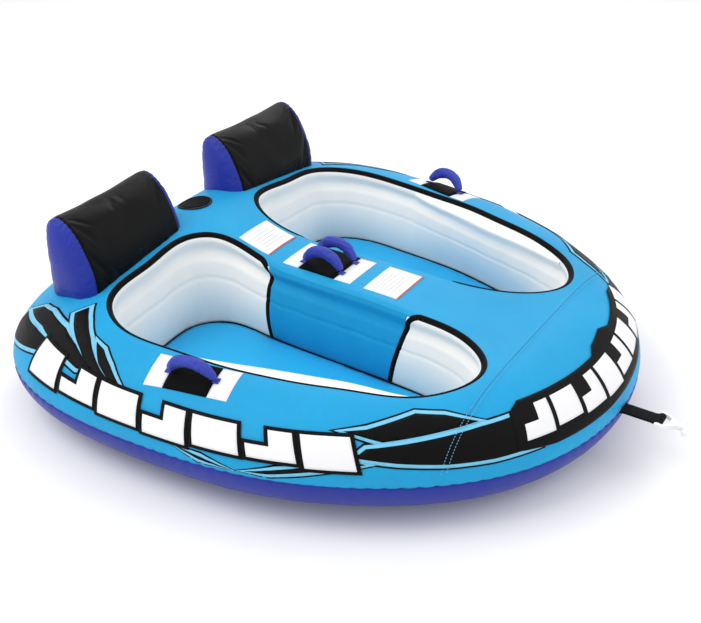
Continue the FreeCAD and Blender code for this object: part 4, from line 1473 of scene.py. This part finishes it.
def build_backrest_zips():
    """Teeth across the rear of each backrest."""
    crest = -0.1716
    ends = [BACKREST_PLACE @ Vector((crest, y, 0.060)) for y in (-0.158, 0.158)]
    out = BACKREST_PLACE.to_3x3() @ Vector((-1, 0, 0))
    for side, sign in (("left", 1), ("right", -1)):
        flip = Vector((1, sign, 1))
        zip_teeth(f"backrest_zip_teeth_{side}", ends[0] * flip, ends[1] * flip, out * flip,
                  f"backrest_zip_{side}")


# ---------------------------------------------------------------- seams

def build_seams():
    """Double row over the nose, rows along the bindings, and the wall's joining seams."""
    for place, x in enumerate((NOSE_SEAM_X - 0.005, NOSE_SEAM_X + 0.005)):
        reach = next(y for y in np.arange(0.45, 0.9, 0.002) if HULL.gap_to([(x, y)])[0] < 0.006)
        path = [(x, y) for y in np.linspace(-reach, reach, 300)]
        spots, out = mapped_line(on_deck, path, 0.0042)
        stitches(f"nose_seam_{place}", spots, out, "thread_blue", pitch=0.008, radius=0.0007)
    runs = np.arange(PANEL_HIGH + 0.03, PANEL_NEXT - 0.03, 0.006)
    wall = wall_run(float(deck_height(PORT.at([PANEL_HIGH])[0])[0]))
    level = np.full(len(runs), LIP_RUN + wall * 0.42)
    depth = np.linspace(LIP_RUN + 0.004, LIP_RUN + wall * 0.97, 40)
    for mirrored, side in SIDES:
        def mapping(flat, lift):
            return on_cockpit(flat[:, 0], flat[:, 1], lift, mirrored)

        for row, inset in (("outer", 0.0085), ("inner", 0.0225)):
            spots, out = mapped_line(mapping, [(run, inset) for run in runs], 0.0030)
            stitches(f"binding_thread_{row}_{side}", spots, out, "thread_dark", pitch=0.008)
        wall_tape(f"wall_seam_level_{side}", runs, level, mapping)
        for place, share in enumerate((0.16, 0.40, 0.62, 0.86)):
            run = PANEL_HIGH + (PANEL_NEXT - PANEL_HIGH) * share
            wall_tape(f"wall_seam_{place}_{side}", np.full(len(depth), run), depth, mapping)


def wall_tape(name, runs, depths, mapping):
    """Thin sewn ridge on a cockpit wall."""
    low, out = mapped_line(mapping, np.column_stack([runs, depths]), 0.0004)
    across = np.cross(unit(np.gradient(low, axis=0)), out)
    piece = ribbon(name, low, across, out, 0.0024, 0.0009, rows=5)
    recalc(piece)
    finish_piece(piece, "thread_grey", "hull")


for build in (build_hull, build_handle_fields, build_labels, build_graphics, build_backrests, build_grips,
              build_valve_flap, build_tow_strap, build_bottom, build_backrest_zips, build_seams):
    build()


# ---------------------------------------------------------------- CAD nodes that keep their shape

for part in frame["record"]["subparts"]:
    slot_name = part["material_slot"]
    node = frame["nodes"][part["node"]]
    node.data.materials.clear()
    node.data.materials.append(MATERIALS["end_blue" if slot_name == "band_blue" else slot_name])


# ---------------------------------------------------------------- stage

WORLD_STRENGTH = 0.93
# name, place, size in metres, power in watts
LIGHTS = [("key", (-1.6, -2.2, 3.6), 2.6, 70), ("fill", (3.0, 1.2, 2.6), 2.4, 28),
          ("rim", (-1.5, 3.0, 2.8), 2.0, 30)]


def build_stage():
    """Pale floor, white surroundings and three large soft lights."""
    bpy.ops.mesh.primitive_plane_add(size=30, location=(0, 0, -0.0005))
    floor = bpy.context.object
    floor.name = "studio_floor"
    paint = Paint("studio_floor")
    where = paint.coordinates(False)
    paint.link(paint.ramp(paint.noise(where, 0.6), (0.90, 0.90, 0.90), (0.93, 0.93, 0.93)),
               paint.shader.inputs["Base Color"])
    socket_set(paint.shader, Roughness=0.7, Specular_IOR_Level=0.2)
    floor.data.materials.append(paint.material)
    world = bpy.data.worlds.new("studio")
    world.use_nodes = True
    socket_set(world.node_tree.nodes["Background"], Color=(1.0, 1.0, 1.0, 1), Strength=WORLD_STRENGTH)
    SCENE.world = world
    for name, place, size, power in LIGHTS:
        data = bpy.data.lights.new(name, "AREA")
        data.size = size
        data.energy = power
        lamp = bpy.data.objects.new(name, data)
        SCENE.collection.objects.link(lamp)
        lamp.location = place
        lamp.rotation_euler = (Vector((0, 0, 0.2)) - Vector(place)).to_track_quat("-Z", "Y").to_euler()
    SCENE.view_settings.view_transform = "Standard"


build_stage()
